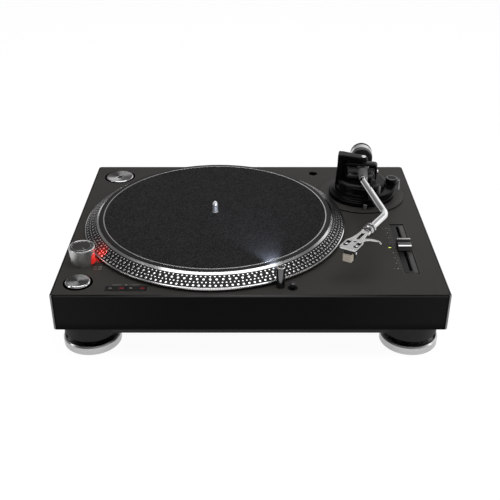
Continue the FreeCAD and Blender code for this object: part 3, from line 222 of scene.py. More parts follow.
# Thin chamfers run round the holes in the deck: the wells of the start button, the adapter,
# the light's button and the spare headshell, and the recesses of the speed keys and the fader.
def new_piece(name, points, faces, materials, place=Matrix(), uv=None, pick=None, crease=38.0):
    """A mesh from points in millimetres and faces as lists of corner numbers, at its place.
    Points that coincide are merged, which closes seams and poles."""
    turn = np.array(place.to_3x3())
    points = (np.reshape(points, (-1, 3)) @ turn.T + np.array(place.translation)) * MM
    mesh = bpy.data.meshes.new(name)
    mesh.from_pydata(points.tolist(), [], faces)
    if uv is not None:
        mesh.uv_layers.new(name="around").data.foreach_set("uv", np.ravel(uv).astype(np.float32))
    for material in materials:
        mesh.materials.append(material)
    if pick is not None:
        mesh.polygons.foreach_set("material_index", np.asarray(pick, np.int32))
    shell = bmesh.new()
    shell.from_mesh(mesh)
    bmesh.ops.remove_doubles(shell, verts=shell.verts, dist=2e-7)
    bmesh.ops.recalc_face_normals(shell, faces=shell.faces)
    shell.to_mesh(mesh)
    shell.free()
    mesh.shade_smooth()
    mesh.set_sharp_from_angle(angle=math.radians(crease))
    piece = bpy.data.objects.new(name, mesh)
    bpy.context.scene.collection.objects.link(piece)
    return piece


def woven(name, points, materials, place, uv=None, pick=None):
    """A surface from one or more grids of points: each face joins rows i and i + 1 and
    columns j and j + 1. pick gives each face's material from the grid of face middles."""
    points = np.asarray(points, float)
    rows, columns = points.shape[-3:-1]
    index = np.arange(points.size // 3).reshape(-1, rows, columns)
    corners = (index[:, :-1, :-1], index[:, :-1, 1:], index[:, 1:, 1:], index[:, 1:, :-1])
    quads = np.stack(corners, -1).reshape(-1, 4)
    if uv is not None:
        uv = np.reshape(uv, (-1, 2))[quads].reshape(-1, 2)
    if pick is not None:
        pick = pick(points.reshape(-1, 3)[quads].mean(1))
    return new_piece(name, points, quads.tolist(), materials, place, uv, pick)


def eased(points, cut, closed=False, steps=6):
    """Corners made round: each corner c becomes the curve (1-t)^2 a + 2t(1-t) c + t^2 b,
    where a and b lie cut before and after it, with a point just outside a and just outside b."""
    points = np.asarray(points, float)
    back, on = np.roll(points, 1, 0) - points, np.roll(points, -1, 0) - points
    back_length = np.linalg.norm(back, axis=1, keepdims=True)
    on_length = np.linalg.norm(on, axis=1, keepdims=True)
    reach = np.minimum(np.broadcast_to(np.reshape(cut, (-1, 1)), back_length.shape),
                       0.42 * np.minimum(back_length, on_length))
    back, on = back / back_length * reach, on / on_length * reach
    t = np.linspace(0, 1, steps)[:, None]
    corner = points[:, None]
    curve = corner + (1 - t) ** 2 * back[:, None] + t ** 2 * on[:, None]
    curve = np.concatenate([corner + 1.15 * back[:, None], curve, corner + 1.15 * on[:, None]], 1)
    if closed:
        return curve.reshape(-1, 2)
    return np.vstack([points[:1], curve[1:-1].reshape(-1, 2), points[-1:]])


def lathe(name, profile, materials, place, cut=0.3, sides=96, pick=None, span=(0, 360)):
    """A turned solid: x = r cos u, y = r sin u, with (r, z) going along the profile, whose
    corners are eased. A profile off the axis closes on itself, and so do a part turn's ends."""
    if profile[0][0] > 0:
        profile = eased(profile, cut, closed=True)
        profile = np.vstack([profile, profile[:1]])
    else:
        profile = eased(profile, cut)
    u = np.radians(np.linspace(*span, sides + 1))
    r, z = profile[:, :1], profile[:, 1:]
    points = np.stack([r * np.cos(u), r * np.sin(u), z + 0 * u], -1)
    if span != (0, 360):
        ends = points[:-1].mean(0)[[0, -1]]
        ends = np.broadcast_to(ends, (len(points), 2, 3))
        points = np.concatenate([ends[:, :1], points, ends[:, 1:]], 1)
        u = np.concatenate([u[:1], u, u[-1:]])
    run = np.cumsum(np.linalg.norm(np.diff(profile, axis=0, prepend=profile[:1]), axis=1))
    uv = np.stack([0 * run[:, None] + u / (2 * np.pi), run[:, None] + 0 * u], -1)
    chosen = None if pick is None else lambda mid: pick(np.hypot(mid[:, 0], mid[:, 1]), mid[:, 2])
    return woven(name, points, materials, place, uv, chosen)


def plate(name, loops, low, high, materials, place=Matrix(), ease=0.4, foot=0.05):
    """A flat piece with an outline and holes. Each loop stands as a wall whose upper edge is
    a quarter round of radius ease and whose lower one of radius foot, and both faces are filled."""
    quarter = np.linspace(0, math.pi / 2, 5)
    inset = np.concatenate([[foot + 0.03], foot * (1 - np.sin(quarter)),
                            ease * (1 - np.cos(quarter)), [ease + 0.03]])
    level = np.concatenate([[low], low + foot * (1 - np.cos(quarter)),
                            high - ease * (1 - np.sin(quarter)), [high]])
    points, faces, rims, start = [], [], ([], []), 0
    for number, loop in enumerate(loops):
        loop = np.asarray(loop, float)
        along = np.roll(loop, -1, 0) - loop
        area = np.sum(loop[:, 0] * along[:, 1] - loop[:, 1] * along[:, 0])
        if (area < 0) == (number == 0):
            loop = loop[::-1]
            along = np.roll(loop, -1, 0) - loop
        along /= np.linalg.norm(along, axis=1, keepdims=True)
        inward = np.stack([-along[:, 1], along[:, 0]], 1)
        inward = inward + np.roll(inward, 1, 0)
        inward /= np.maximum(0.5, (inward ** 2).sum(1, keepdims=True) / 2)
        wall = loop + inward * inset[:, None, None]
        rows, count = wall.shape[:2]
        points.append(np.dstack([wall, np.broadcast_to(level[:, None], (rows, count))]).reshape(-1, 3))
        index = start + np.arange(rows * count).reshape(rows, count)
        on = np.roll(index, -1, 1)
        faces += np.stack([index[:-1], on[:-1], on[1:], index[1:]], -1).reshape(-1, 4).tolist()
        for rim, row in zip(rims, (0, -1)):
            rim.append((index[row], points[-1].reshape(rows, count, 3)[row]))
        start += rows * count
    for rim in rims:
        order = np.concatenate([numbers for numbers, _ in rim])
        fill = tessellate_polygon([[Vector((x, y, 0)) for x, y, _ in spots] for _, spots in rim])
        faces += order[np.array(fill)].tolist()
    return new_piece(name, np.vstack(points), faces, materials, place)


def fit(piece, body, slot, *stands_for):
    """Sets a piece riding on its body, and hides the solids that it stands for. The slot is not used."""
    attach(piece, body)
    if stands_for:
        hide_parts(*stands_for)
    return piece


def turned(angle, axis):
    """A turn by degrees about an axis."""
    return Matrix.Rotation(math.radians(angle), 4, axis)


def spot(x, y, z=0.0, turn=0.0):
    """A place in millimetres, turned about Z by degrees."""
    return Matrix.Translation((x, y, z)) @ turned(turn, "Z")


def round_node(name):
    """Middle and radius in plan of an upright round solid, in millimetres."""
    low, high = (np.array(corner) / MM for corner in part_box(name))
    return (low[0] + high[0]) / 2, (low[1] + high[1]) / 2, (high[0] - low[0]) / 2


def rectangle(x0, x1, y0, y1, cut):
    """A rectangle's outline with round corners."""
    return eased([(x0, y0), (x1, y0), (x1, y1), (x0, y1)], cut, closed=True)


edge_paint = finish("edge_paint", (0.06, 0.058, 0.053), (0.045, 0.044, 0.041), 20, 0.4, 0.01,
                    (0.2, 0.32), gloss=0.6)
START_X, START_Y, START_R = round_node("start_button")
ADAPTER_X, ADAPTER_Y, ADAPTER_R = round_node("adapter_45")
POP_X, POP_Y, POP_R = round_node("light_button")
SPARE_X, SPARE_Y, SPARE_R = 91.9, 150.6, 6.5
START_WELL, ADAPTER_WELL = 17.3, 22.0
for name, x, y, r in (("start_well_edge", START_X, START_Y, START_WELL),
                      ("adapter_well_edge", ADAPTER_X, ADAPTER_Y, ADAPTER_WELL),
                      ("light_button_well_edge", POP_X, POP_Y, POP_R + 3.2),
                      ("spare_hole_edge", SPARE_X, SPARE_Y, SPARE_R)):
    fit(lathe(name, [(r, -1.0), (r, -0.3), (r + 0.35, 0.03), (r + 0.6, 0.03), (r + 0.6, -1.0)], [edge_paint],
            spot(x, y, DECK), cut=0.12), "chassis", "case_dark")
KEYS = [np.array(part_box(f"speed_button_{speed}")) / MM for speed in (33, 45)]
KEY_GAP = 0.5
FADER = np.array(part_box("fader_plate")) / MM
recesses = {
    "speed_recess_edge": (KEYS[0][0][0] - KEY_GAP, KEYS[1][1][0] + KEY_GAP,
                          KEYS[0][0][1] - KEY_GAP, KEYS[0][1][1] + KEY_GAP),
    "fader_recess_edge": (FADER[0][0] - 0.1, FADER[1][0] + 0.1, FADER[0][1] - 0.1, FADER[1][1] + 0.1),
}
for name, (x0, x1, y0, y1) in recesses.items():
    fit(plate(name, [rectangle(x0 - 0.5, x1 + 0.5, y0 - 0.5, y1 + 0.5, 0.3), rectangle(x0, x1, y0, y1, 0.2)],
            DECK - 0.7, DECK + 0.03, [edge_paint], ease=0.22), "chassis", "case_dark")


# Fine marks are printed on the deck in pale grey ink: the fader's scale with its plain
# numbers, the ends of the power dial's turn, and a bracket with 78 over the two speed keys.
INK_THICK = 0.03


def lettering(name, marks, material):
    """Plain numbers and signs as a thin film of ink. A mark is its text, size and place."""
    ink = bmesh.new()
    for text, size, place in marks:
        curve = bpy.data.curves.new("figure", "FONT")
        curve.body, curve.size, curve.extrude, curve.resolution_u = text, size, INK_THICK / 2, 3
        curve.align_x, curve.align_y = "CENTER", "CENTER"
        holder = bpy.data.objects.new("figure", curve)
        flat = bpy.data.meshes.new_from_object(holder)
        flat.transform(place)
        ink.from_mesh(flat)
        bpy.data.objects.remove(holder)
        bpy.data.curves.remove(curve)
        bpy.data.meshes.remove(flat)
    bmesh.ops.scale(ink, vec=(MM, MM, MM), verts=ink.verts)
    bmesh.ops.remove_doubles(ink, verts=ink.verts, dist=1e-7)
    mesh = bpy.data.meshes.new(name)
    ink.to_mesh(mesh)
    ink.free()
    mesh.materials.append(material)
    piece = bpy.data.objects.new(name, mesh)
    bpy.context.scene.collection.objects.link(piece)
    return piece


def blocks(name, boxes, materials, place=Matrix()):
    """Small straight blocks, one per row of x0, x1, y0, y1, z0, z1, as one mesh."""
    boxes = np.asarray(boxes, float).reshape(-1, 3, 2)
    corner = np.array([(i, j, k) for k in (0, 1) for j in (0, 1) for i in (0, 1)])
    points = boxes[:, [0, 1, 2], :][:, np.arange(3), corner]
    sides = np.array([(0, 2, 3, 1), (4, 5, 7, 6), (0, 1, 5, 4), (2, 6, 7, 3), (0, 4, 6, 2), (1, 3, 7, 5)])
    faces = (sides + 8 * np.arange(len(boxes))[:, None, None]).reshape(-1, 4)
    return new_piece(name, points, faces.tolist(), materials, place, crease=20)


ink_pale = finish("ink_pale", (0.5, 0.5, 0.48), (0.38, 0.38, 0.37), 1.5, 0.2, 0.004, (0.5, 0.65))
SCALE_X, SCALE_MIDDLE, SCALE_STEP = 174.6, -68.4, 12.5
TICK_X = 178.2
scale_marks = [(figure, 3.1, spot(SCALE_X, SCALE_MIDDLE + SCALE_STEP * step, DECK + 0.02))
               for step, figure in zip((4, 3, 2, 1, -1, -2, -3, -4), "86422468")]
scale_marks += [("+", 3.0, spot(170.4, SCALE_MIDDLE - 4 * SCALE_STEP, DECK + 0.02)),
                ("-", 4.0, spot(170.4, SCALE_MIDDLE + 4 * SCALE_STEP, DECK + 0.02))]
fit(lettering("fader_numbers", scale_marks, ink_pale), "chassis", "case_dark")
tick_rows = [SCALE_MIDDLE + SCALE_STEP / 2 * half for half in range(-8, 9)]
ticks = [(TICK_X - (0.9 if half % 2 else 1.5), TICK_X, y - 0.2, y + 0.2, DECK, DECK + 0.03)
         for half, y in enumerate(tick_rows, 1)]
BRACKET_Y = KEYS[0][1][1] + 3.1
bracket = [(-158.5, -147.5, BRACKET_Y - 0.15, BRACKET_Y + 0.15, DECK, DECK + 0.03),
           (-137.5, -126.5, BRACKET_Y - 0.15, BRACKET_Y + 0.15, DECK, DECK + 0.03)]
POWER_MARKS = ((-180.5, -114.6), (-180.5, -119.6))
bracket += [(x - 5.2, x - 1.4, y - 0.2, y + 0.2, DECK, DECK + 0.03) for x, y in POWER_MARKS]
fit(blocks("deck_ticks", ticks + bracket, [ink_pale]), "chassis", "case_dark")
words = [("78", 2.6, spot(-142.5, BRACKET_Y, DECK + 0.02))]
words += [(text, 2.6, spot(x + 2.2, y, DECK + 0.02)) for text, (x, y) in zip(("ON", "OFF"), POWER_MARKS)]
fit(lettering("deck_signs", words, ink_pale), "chassis", "case_dark")


# Each foot is a rubber damper under the cabinet, a turned aluminium ring that is screwed up
# and down by hand, and a rubber pad on a steel stud.
def turned_metal(name, colour, other, rough, lines=2.5, depth=0.004, anisotropic=0.6, **sockets):
    """Metal from the lathe: fine lines run round it, noise stretched along u of its own map,
    with that many lines to a millimetre, and its gloss spreads across them."""
    material, tree, shader = blank(name, metal=1.0, Anisotropic=anisotropic,
                                   Anisotropic_Rotation=0.25, **sockets)
    around = add(tree, "UVMap", uv_map="around").outputs[0]
    rings = add(tree, "Mapping", Vector=around, Scale=(3.0, lines, 1.0))
    tint = drift(tree, rings.outputs[0], colour, other, 1 / (0.6 * MM))[0]
    tree.links.new(tint, shader.inputs["Base Color"])
    grain(tree, shader, rings.outputs[0], 1 / MM, depth, rough)
    tangent = add(tree, "Tangent", direction_type="UV_MAP", uv_map="around")
    tree.links.new(tangent.outputs[0], shader.inputs["Tangent"])
    return material


foot_metal = turned_metal("foot_metal", 0.66, 0.5, (0.2, 0.34))
rubber = finish("rubber", 0.009, 0.016, 12, 0.5, 0.03, (0.5, 0.7), gloss=0.25)
DAMPER_R, DAMPER_LOW, CASE_FOOT = 32.4, 18.2, 40.3
NECK_R, NECK_LOW = 25.0, 13.0
RING_R, RING_IN, RING_LOW, RING_HIGH, RING_FLOOR = 34.3, 32.0, 1.3, 12.2, 6.0
STUD_R, STUD_BORE, STUD_HIGH = 5.0, 5.08, 38.0
PAD_R = 30.0
for end in ("front", "back"):
    for side in ("left", "right"):
        place_name = f"{end}_{side}"
        x, y, _ = round_node(f"foot_ring_{place_name}")
        foot_at = spot(x, y)
        fit(lathe(f"foot_ring_metal_{place_name}", [(STUD_BORE, RING_LOW), (RING_R - 0.5, RING_LOW),
                (RING_R, RING_LOW + 0.5), (RING_R, RING_HIGH - 1.8), (RING_R - 1.5, RING_HIGH),
                (RING_IN, RING_HIGH), (RING_IN, RING_FLOOR), (STUD_BORE, RING_FLOOR)], [foot_metal], foot_at,
                cut=0.25, sides=160),
            f"foot_ring_{place_name}", "satin_silver", f"foot_ring_{place_name}")
        fit(lathe(f"foot_pad_rubber_{place_name}", [(0, 0), (PAD_R - 0.6, 0), (PAD_R, 0.6), (PAD_R, RING_LOW),
                (STUD_R, RING_LOW), (STUD_R, STUD_HIGH - 1), (STUD_R - 1, STUD_HIGH), (0, STUD_HIGH)],
                [rubber, screw_steel], foot_at, pick=lambda r, z: (z > RING_LOW + 0.1) * 1),
            f"foot_{place_name}", "rubber_black", f"foot_pad_{place_name}")
        damper = lathe(f"foot_damper_{place_name}", [
            (STUD_BORE, CASE_FOOT), (DAMPER_R - 0.8, CASE_FOOT), (DAMPER_R, CASE_FOOT - 3),
            (DAMPER_R, DAMPER_LOW + 1.2), (DAMPER_R - 1.2, DAMPER_LOW), (NECK_R, DAMPER_LOW),
            (NECK_R, NECK_LOW), (STUD_BORE, NECK_LOW)], [rubber], foot_at, cut=0.8, sides=128)
        fit(damper, "chassis", "rubber_black")
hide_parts("foot_dampers")


# The platter is a die-cast aluminium disc, turned bright at its bevel, its rim and the ring
# round the mat, and black between them. It carries four rows of dots for the strobe light.
joints = {joint["name"]: joint for joint in frame["joints"]}
PLATTER_X, PLATTER_Y = (joints["platter_spin"]["pos_m"][i] / MM for i in (0, 1))
PLATTER_AT = spot(PLATTER_X, PLATTER_Y, DECK)
PLATTER_R, RIM_TOP_R, RIM_TOP = 167.0, 166.1, 5.6
SLOPE_R, SLOPE_TOP, BEVEL_R, BEVEL_TOP = 151.8, 14.4, 148.6, 16.8
MAT_RING_R, MAT_RING_IN, MAT_SEAT = 143.2, 141.9, 15.0
SHOULDER_R = 4.0
platter_bright = turned_metal("platter_bright", 0.8, 0.68, (0.16, 0.26), lines=4.0)
platter_dark = finish("platter_dark", 0.012, 0.009, 12, 0.4, 0.01, (0.34, 0.46), gloss=0.2)
platter_cast = finish("platter_cast", 0.45, (0.36, 0.36, 0.37), 8, 0.6, 0.05, (0.45, 0.6), metal=1.0)


def platter_finish(r, z):
    """0 bright, 1 dark, 2 as cast, by radius and height."""
    bevel = (r > BEVEL_R + 0.6) & (r < SLOPE_R + 0.1) & (z > SLOPE_TOP - 0.1)
    rim = (r > RIM_TOP_R - 0.4) & (z > 3.4)
    ring = (r > MAT_RING_IN - 0.1) & (r < MAT_RING_R + 0.1) & (z > BEVEL_TOP - 0.2)
    inside = (r < 157) & (z < 10.3)
    return np.where(bevel | rim | ring, 0, np.where(inside, 2, 1))


fit(lathe("platter_disc", [(SHOULDER_R + 0.02, 6), (16, 6), (16, 10), (148, 10), (160, 3.4), (PLATTER_R, 3.4),
        (PLATTER_R, 4.9), (RIM_TOP_R, RIM_TOP), (SLOPE_R, SLOPE_TOP), (BEVEL_R + 0.6, BEVEL_TOP - 0.45),
        (BEVEL_R, BEVEL_TOP), (MAT_RING_R, BEVEL_TOP), (MAT_RING_R, BEVEL_TOP + 0.3),
        (MAT_RING_IN, BEVEL_TOP + 0.3), (MAT_RING_IN, MAT_SEAT), (SHOULDER_R + 0.02, MAT_SEAT)],
        [platter_bright, platter_dark, platter_cast], PLATTER_AT, cut=0.14, sides=360, pick=platter_finish),
    "platter", "satin_silver", "platter")

DOT_ROWS = ((153.8, 180, 1.0), (156.9, 133, 1.42), (160.2, 216, 1.0), (163.6, 160, 1.38))
DOT_SIDES = 14


def dots(rows):
    """Low domes on the slope. Row by row, dot k of n stands at the angle 2 pi k / n from the
    front; over it, s runs down the slope, t round the platter and h out of the slope."""
    fall = np.array([RIM_TOP_R - SLOPE_R, RIM_TOP - SLOPE_TOP])
    fall /= np.linalg.norm(fall)
    dome_r, dome_h = np.array([0, 0.7, 0.92, 1.0, 1.0]), np.array([0.1, 0.09, 0.05, 0.0, -0.15])
    phi = np.linspace(0, 2 * np.pi, DOT_SIDES + 1)
    grids = []
    for radius, count, size in rows:
        turn = (-np.pi / 2 + 2 * np.pi * np.arange(count) / count)[:, None, None]
        s, t = size * dome_r[:, None] * np.cos(phi), size * dome_r[:, None] * np.sin(phi)
        h = dome_h[:, None] + 0 * phi
        r = radius + s * fall[0] - h * fall[1]
        z = SLOPE_TOP + (radius - SLOPE_R) * fall[1] / fall[0] + s * fall[1] + h * fall[0]
        x = r * np.cos(turn) - t * np.sin(turn)
        y = r * np.sin(turn) + t * np.cos(turn)
        grids.append(np.stack([x, y, z + 0 * x], -1))
    return np.concatenate(grids)


dot_metal = finish("dot_metal", 0.86, 0.72, 20, 0.3, 0.004, (0.2, 0.3), metal=0.95)
fit(woven("strobe_dots", dots(DOT_ROWS), [dot_metal], PLATTER_AT), "platter", "satin_silver")


# The mat is a disc of black wool felt with a hole for the spindle. It slips on the platter.
MAT_R, MAT_TOP = 141.4, 17.5


def felt(name):
    """Dyed felt: dark and light fibres that show as a fine grain, slow cloudy patches and a
    soft nap."""
    material, tree, shader = blank(name, gloss=0.08, Sheen_Weight=0.06,
                                   Sheen_Roughness=0.5, Sheen_Tint=(0.6, 0.6, 0.65, 1))
    vector = add(tree, "TexCoord").outputs["Object"]
    cloud = drift(tree, vector, (0.012, 0.012, 0.0125), (0.017, 0.017, 0.0175), 28)[0]
    fibres = add(tree, "TexNoise", Vector=vector, Scale=1 / (1.6 * MM), Detail=3.0, Roughness=0.7)
    fleck = ramp(tree, fibres.outputs[0], 0.36, 0.64, 0.0, 2.5)
    tint = add(tree, "VectorMath", operation="SCALE", Vector=cloud, Scale=fleck)
    tree.links.new(tint.outputs[0], shader.inputs["Base Color"])
    grain(tree, shader, vector, 0.55, 0.12, (0.8, 1.0))
    return material


fit(lathe("mat_felt_disc", [(SHOULDER_R + 0.09, MAT_SEAT + 0.03), (MAT_R, MAT_SEAT + 0.03),
        (MAT_R, MAT_TOP - 0.6), (MAT_R - 0.6, MAT_TOP), (SHOULDER_R + 0.09, MAT_TOP)], [felt("felt")],
        PLATTER_AT, cut=0.5, sides=360),
    "mat", "mat_felt", "platter_mat")


# The spindle is a ground steel pin with a bullet nose. Below the deck it turns in a brass
# bush, and the magnets on the platter turn over twelve coils on a steel plate.
SPINDLE_R = 3.6
spindle_steel = finish("spindle_steel", 0.8, 0.7, 3, 0.3, 0.004, (0.3, 0.4), metal=0.8)
fit(lathe("spindle_pin", [(0, -30), (SHOULDER_R - 1, -30), (SHOULDER_R, -29), (SHOULDER_R, 17.2),
        (SHOULDER_R - 0.2, 17.4), (SPINDLE_R, 17.4), (SPINDLE_R, 27.6), (SPINDLE_R - 0.6, 29.6),
        (SPINDLE_R - 2.0, 31.7), (0, 32.5)], [spindle_steel], PLATTER_AT,
        cut=(0.5, 0.5, 0.3, 0.1, 0.1, 0.1, 1.2, 1.2, 1.2, 1.2), sides=64),
    "platter", "bright_metal", "spindle")
dress(finish("bearing_brass", (0.62, 0.42, 0.17), (0.5, 0.33, 0.13), 5, 0.4, 0.01, (0.2, 0.35), metal=1.0),
      "spindle_bearing")
dress(finish("magnet_ferrite", (0.03, 0.03, 0.032), 0.05, 6, 0.4, 0.05, (0.5, 0.7)), "rotor_magnet")
dress(finish("coil_copper", (0.5, 0.22, 0.09), (0.35, 0.15, 0.06), 4, 0.35, 0.08, (0.25, 0.45), metal=1.0),
      "motor_stator")
dress(finish("board_green", (0.015, 0.09, 0.035), (0.01, 0.06, 0.025), 9, 0.8, 0.05, (0.3, 0.5)),
      "main_board", "power_supply")


# The tower beside the platter is a turned satin aluminium cup, wider at its top. The power dial
# sits in it, and a red petal of a window in its side throws the strobe light on the dots.
def chrome(name, colour=(0.82, 0.82, 0.83), other=(0.74, 0.74, 0.75), rough=(0.05, 0.1), **sockets):
    """Bright plated metal with a faint unevenness."""
    return finish(name, colour, other, 15, 1.2, 0.003, rough, metal=1.0, **sockets)


TOWER_X, TOWER_Y = round_node("power_dial")[:2]
TOWER_AT = spot(TOWER_X, TOWER_Y, DECK)
TOWER_R, TOWER_FOOT_R, TOWER_TOP, TOWER_EDGE = 15.6, 13.8, 22.0, 21.3
DIAL_R, DIAL_LOW, DIAL_TOP, CUP_R = 13.4, 17.0, 22.3, 13.48
tower_satin = turned_metal("tower_satin", (0.62, 0.62, 0.615), (0.54, 0.54, 0.535), (0.36, 0.44),
                           lines=1.5, depth=0.001, anisotropic=0.2)
tower_rim = chrome("tower_rim", rough=(0.14, 0.2))
fit(lathe("tower_cup", [(0, -12), (4, -12), (4, 0), (TOWER_FOOT_R, 0), (TOWER_R, TOWER_EDGE),
        (TOWER_R - 0.5, TOWER_TOP), (CUP_R + 0.4, TOWER_TOP), (CUP_R, TOWER_TOP - 0.4), (CUP_R, DIAL_LOW),
        (3.06, DIAL_LOW), (3.06, 6), (0, 6)], [tower_satin, tower_rim], TOWER_AT, cut=0.25, sides=128,
        pick=lambda r, z: ((z > TOWER_EDGE - 0.1) & (r > CUP_R - 0.1)) * 1),
    "chassis", "satin_silver", "strobe_tower")

dial_dark = turned_metal("dial_dark", (0.14, 0.137, 0.13), (0.1, 0.098, 0.094), (0.32, 0.42), lines=2.0)
dial_black = finish("dial_black", 0.02, 0.03, 4, 0.3, 0.004, (0.3, 0.4))
GROOVE_IN, GROOVE_OUT = 11.1, 11.5


def dial_finish(r, z):
    """0 dark metal, 1 the bright line in the groove, 2 the black edge outside it."""
    groove = (r > GROOVE_IN - 0.05) & (r < GROOVE_OUT + 0.05) & (z > 21.5)
    return np.where(groove, 1, np.where((r > GROOVE_OUT) & (z > 20), 2, 0))


fit(lathe("power_dial_cap", [(0, 6.1), (3, 6.1), (3, DIAL_LOW + 0.1), (DIAL_R, DIAL_LOW + 0.1),
        (DIAL_R, TOWER_EDGE), (12.5, DIAL_TOP), (11.7, DIAL_TOP), (GROOVE_OUT, 22), (GROOVE_IN, 22),
        (10.9, DIAL_TOP), (0, DIAL_TOP)], [dial_dark, tower_rim, dial_black], TOWER_AT, cut=0.2, sides=128,
        pick=dial_finish),
    "power_dial", "control_black", "power_dial")
fit(blocks("power_dial_mark", [(5.2, 9.0, -0.35, 0.35, DIAL_TOP - 0.2, DIAL_TOP + 0.02)], [ink_pale],
        TOWER_AT @ turned(-62, "Z")), "power_dial", "control_black")

WINDOW_TURN, WINDOW_ROOT, WINDOW_HALF = -24.0, 9.5, 3.2
WINDOW_SIDE = [(14, 1), (16.2, 2.4), (17.2, 5.5), (16.9, 9), (15.0, 14)]


def petal():
    """A blunt petal on the tower's side. With u from -1 to 1 across it, it stands out from its
    root by its side outline's reach at that height, times (1 - |u|^5)^(1/2), and its flat back
    stands at the root."""
    side = eased(WINDOW_SIDE, 1.5)
    u = np.sin(np.linspace(-1, 1, 25) * np.pi / 2)
    reach = (side[:, :1] - WINDOW_ROOT) * np.sqrt(np.clip(1 - np.abs(u) ** 5, 0, 1))
    front = np.stack([WINDOW_ROOT + reach, 0 * reach + u * WINDOW_HALF, 0 * reach + side[:, 1:]], -1)
    back = front * (0, 1, 1) + (WINDOW_ROOT, 0, 0)
    return np.stack([np.concatenate([back[:1], rows, back[-1:]]) for rows in (front, back)])


def lit(name, colour, strength, **sockets):
    """A lit plastic lens whose glow drifts a little over its face."""
    material, tree, shader = blank(name, Emission_Color=(*colour, 1), Roughness=0.15, **sockets)
    vector = add(tree, "TexCoord").outputs["Object"]
    tint, patches = drift(tree, vector, colour, tuple(0.6 * c for c in colour), 2.0)
    power = ramp(tree, patches, 0.0, 1.0, 0.7 * strength, 1.3 * strength)
    tree.links.new(tint, shader.inputs["Base Color"])
    tree.links.new(power, shader.inputs["Emission Strength"])
    return material


red_lens = lit("red_lens", (0.85, 0.03, 0.025), 0.45)
fit(woven("strobe_lens", petal(), [red_lens], TOWER_AT @ turned(WINDOW_TURN, "Z")),
    "chassis", "lens_red", "strobe_window")


# The start button and the adapter for large-hole records are aluminium discs spun to a mirror
# of fine rings, slightly dished, each in its own round well. Their bow-tie streaks are a
# painted highlight in their colour.
HIGHLIGHT_TURN = 0.17


def spun(name, dark, bright):
    """Spun metal: fine rings, and a painted highlight of streaks that fan out from the middle. With
    u once round, the tint goes from dark to bright by cos 4 pi (u - HIGHLIGHT_TURN) and noise that is
    long in r."""
    material, tree, shader = blank(name, metal=1.0, Anisotropic=0.8, Anisotropic_Rotation=0.25)
    around = add(tree, "UVMap", uv_map="around").outputs[0]
    turn = add(tree, "SeparateXYZ", Vector=around).outputs[0]
    # The two lobes and the streaks paint the highlight into the tint.
    angle = combined(tree, "MULTIPLY_ADD", turn, 4 * math.pi, -4 * math.pi * HIGHLIGHT_TURN)
    highlight_lobes = combined(tree, "COSINE", angle)
    fan = add(tree, "Mapping", Vector=around, Scale=(11.0, 3.0, 1.0))
    streaks = add(tree, "TexNoise", Vector=fan.outputs[0], Scale=1.0, Detail=3.0)
    total = combined(tree, "MULTIPLY_ADD", streaks.outputs[0], 1.6, highlight_lobes)
    share = ramp(tree, total, 0.2, 1.8, interpolation_type="SMOOTHSTEP")
    tree.links.new(tinted(tree, share, dark, bright), shader.inputs["Base Color"])
    rings = add(tree, "Mapping", Vector=around, Scale=(3.0, 3.0, 1.0))
    grain(tree, shader, rings.outputs[0], 1 / MM, 0.002, (0.2, 0.3))
    tangent = add(tree, "Tangent", direction_type="UV_MAP", uv_map="around")
    tree.links.new(tangent.outputs[0], shader.inputs["Tangent"])
    return material


spun_silver_painted_highlight = spun("spun_silver_painted_highlight", 0.17, 1.0)
fit(lathe("start_button_cap", [(0, -9), (4, -9), (4, -4), (START_R - 1.5, -4), (START_R - 0.4, -3),
        (START_R, 1.4), (START_R - 1.2, 2.7), (START_R - 1.8, 3.0), (0, 2.5)], [spun_silver_painted_highlight, tower_rim],
        spot(START_X, START_Y, DECK), cut=0.3, sides=128, pick=lambda r, z: (r > START_R - 1.7) * 1),
    "start_button", "satin_silver", "start_button")
fit(lathe("adapter_disc", [(3.7, -9), (ADAPTER_R - 1, -9), (ADAPTER_R, -8), (ADAPTER_R, 0.4),
        (ADAPTER_R - 0.8, 1.2), (6.2, 0.2), (5.2, -0.1), (3.7, -0.4)], [spun_silver_painted_highlight, tower_rim],
        spot(ADAPTER_X, ADAPTER_Y, DECK), cut=0.3, sides=128,
        pick=lambda r, z: ((r > ADAPTER_R - 0.7) | ((r < 5.3) & (z > -0.8))) * 1),
    "adapter", "satin_silver", "adapter_45")


# The two speed keys are black moulded bars with plain numbers and a small red lamp each.
key_plastic = finish("key_plastic", 0.006, 0.009, 8, 0.3, 0.006, (0.24, 0.34), gloss=0.3)
key_red = lit("key_red", (0.25, 0.01, 0.02), 0.16)
for speed, (low, high) in zip((33, 45), KEYS):
    fit(plate(f"speed_key_{speed}", [rectangle(low[0], high[0], low[1], high[1], 0.5)], DECK - 3, DECK + 0.6,
            [key_plastic], ease=0.45),
        f"button_{speed}", "control_black", f"speed_button_{speed}")
    middle = (low[1] + high[1]) / 2
    fit(lettering(f"speed_number_{speed}", [(str(speed), 3.4, spot(low[0] + 5.5, middle, DECK + 0.61))],
            ink_pale), f"button_{speed}", "control_black")
    lamp = rectangle(high[0] - 7.2, high[0] - 1.8, middle - 1.1, middle + 1.1, 0.6)
    fit(plate(f"speed_lamp_{speed}", [lamp], DECK + 0.3, DECK + 0.68, [key_red], ease=0.12),
        f"button_{speed}", "lens_red")


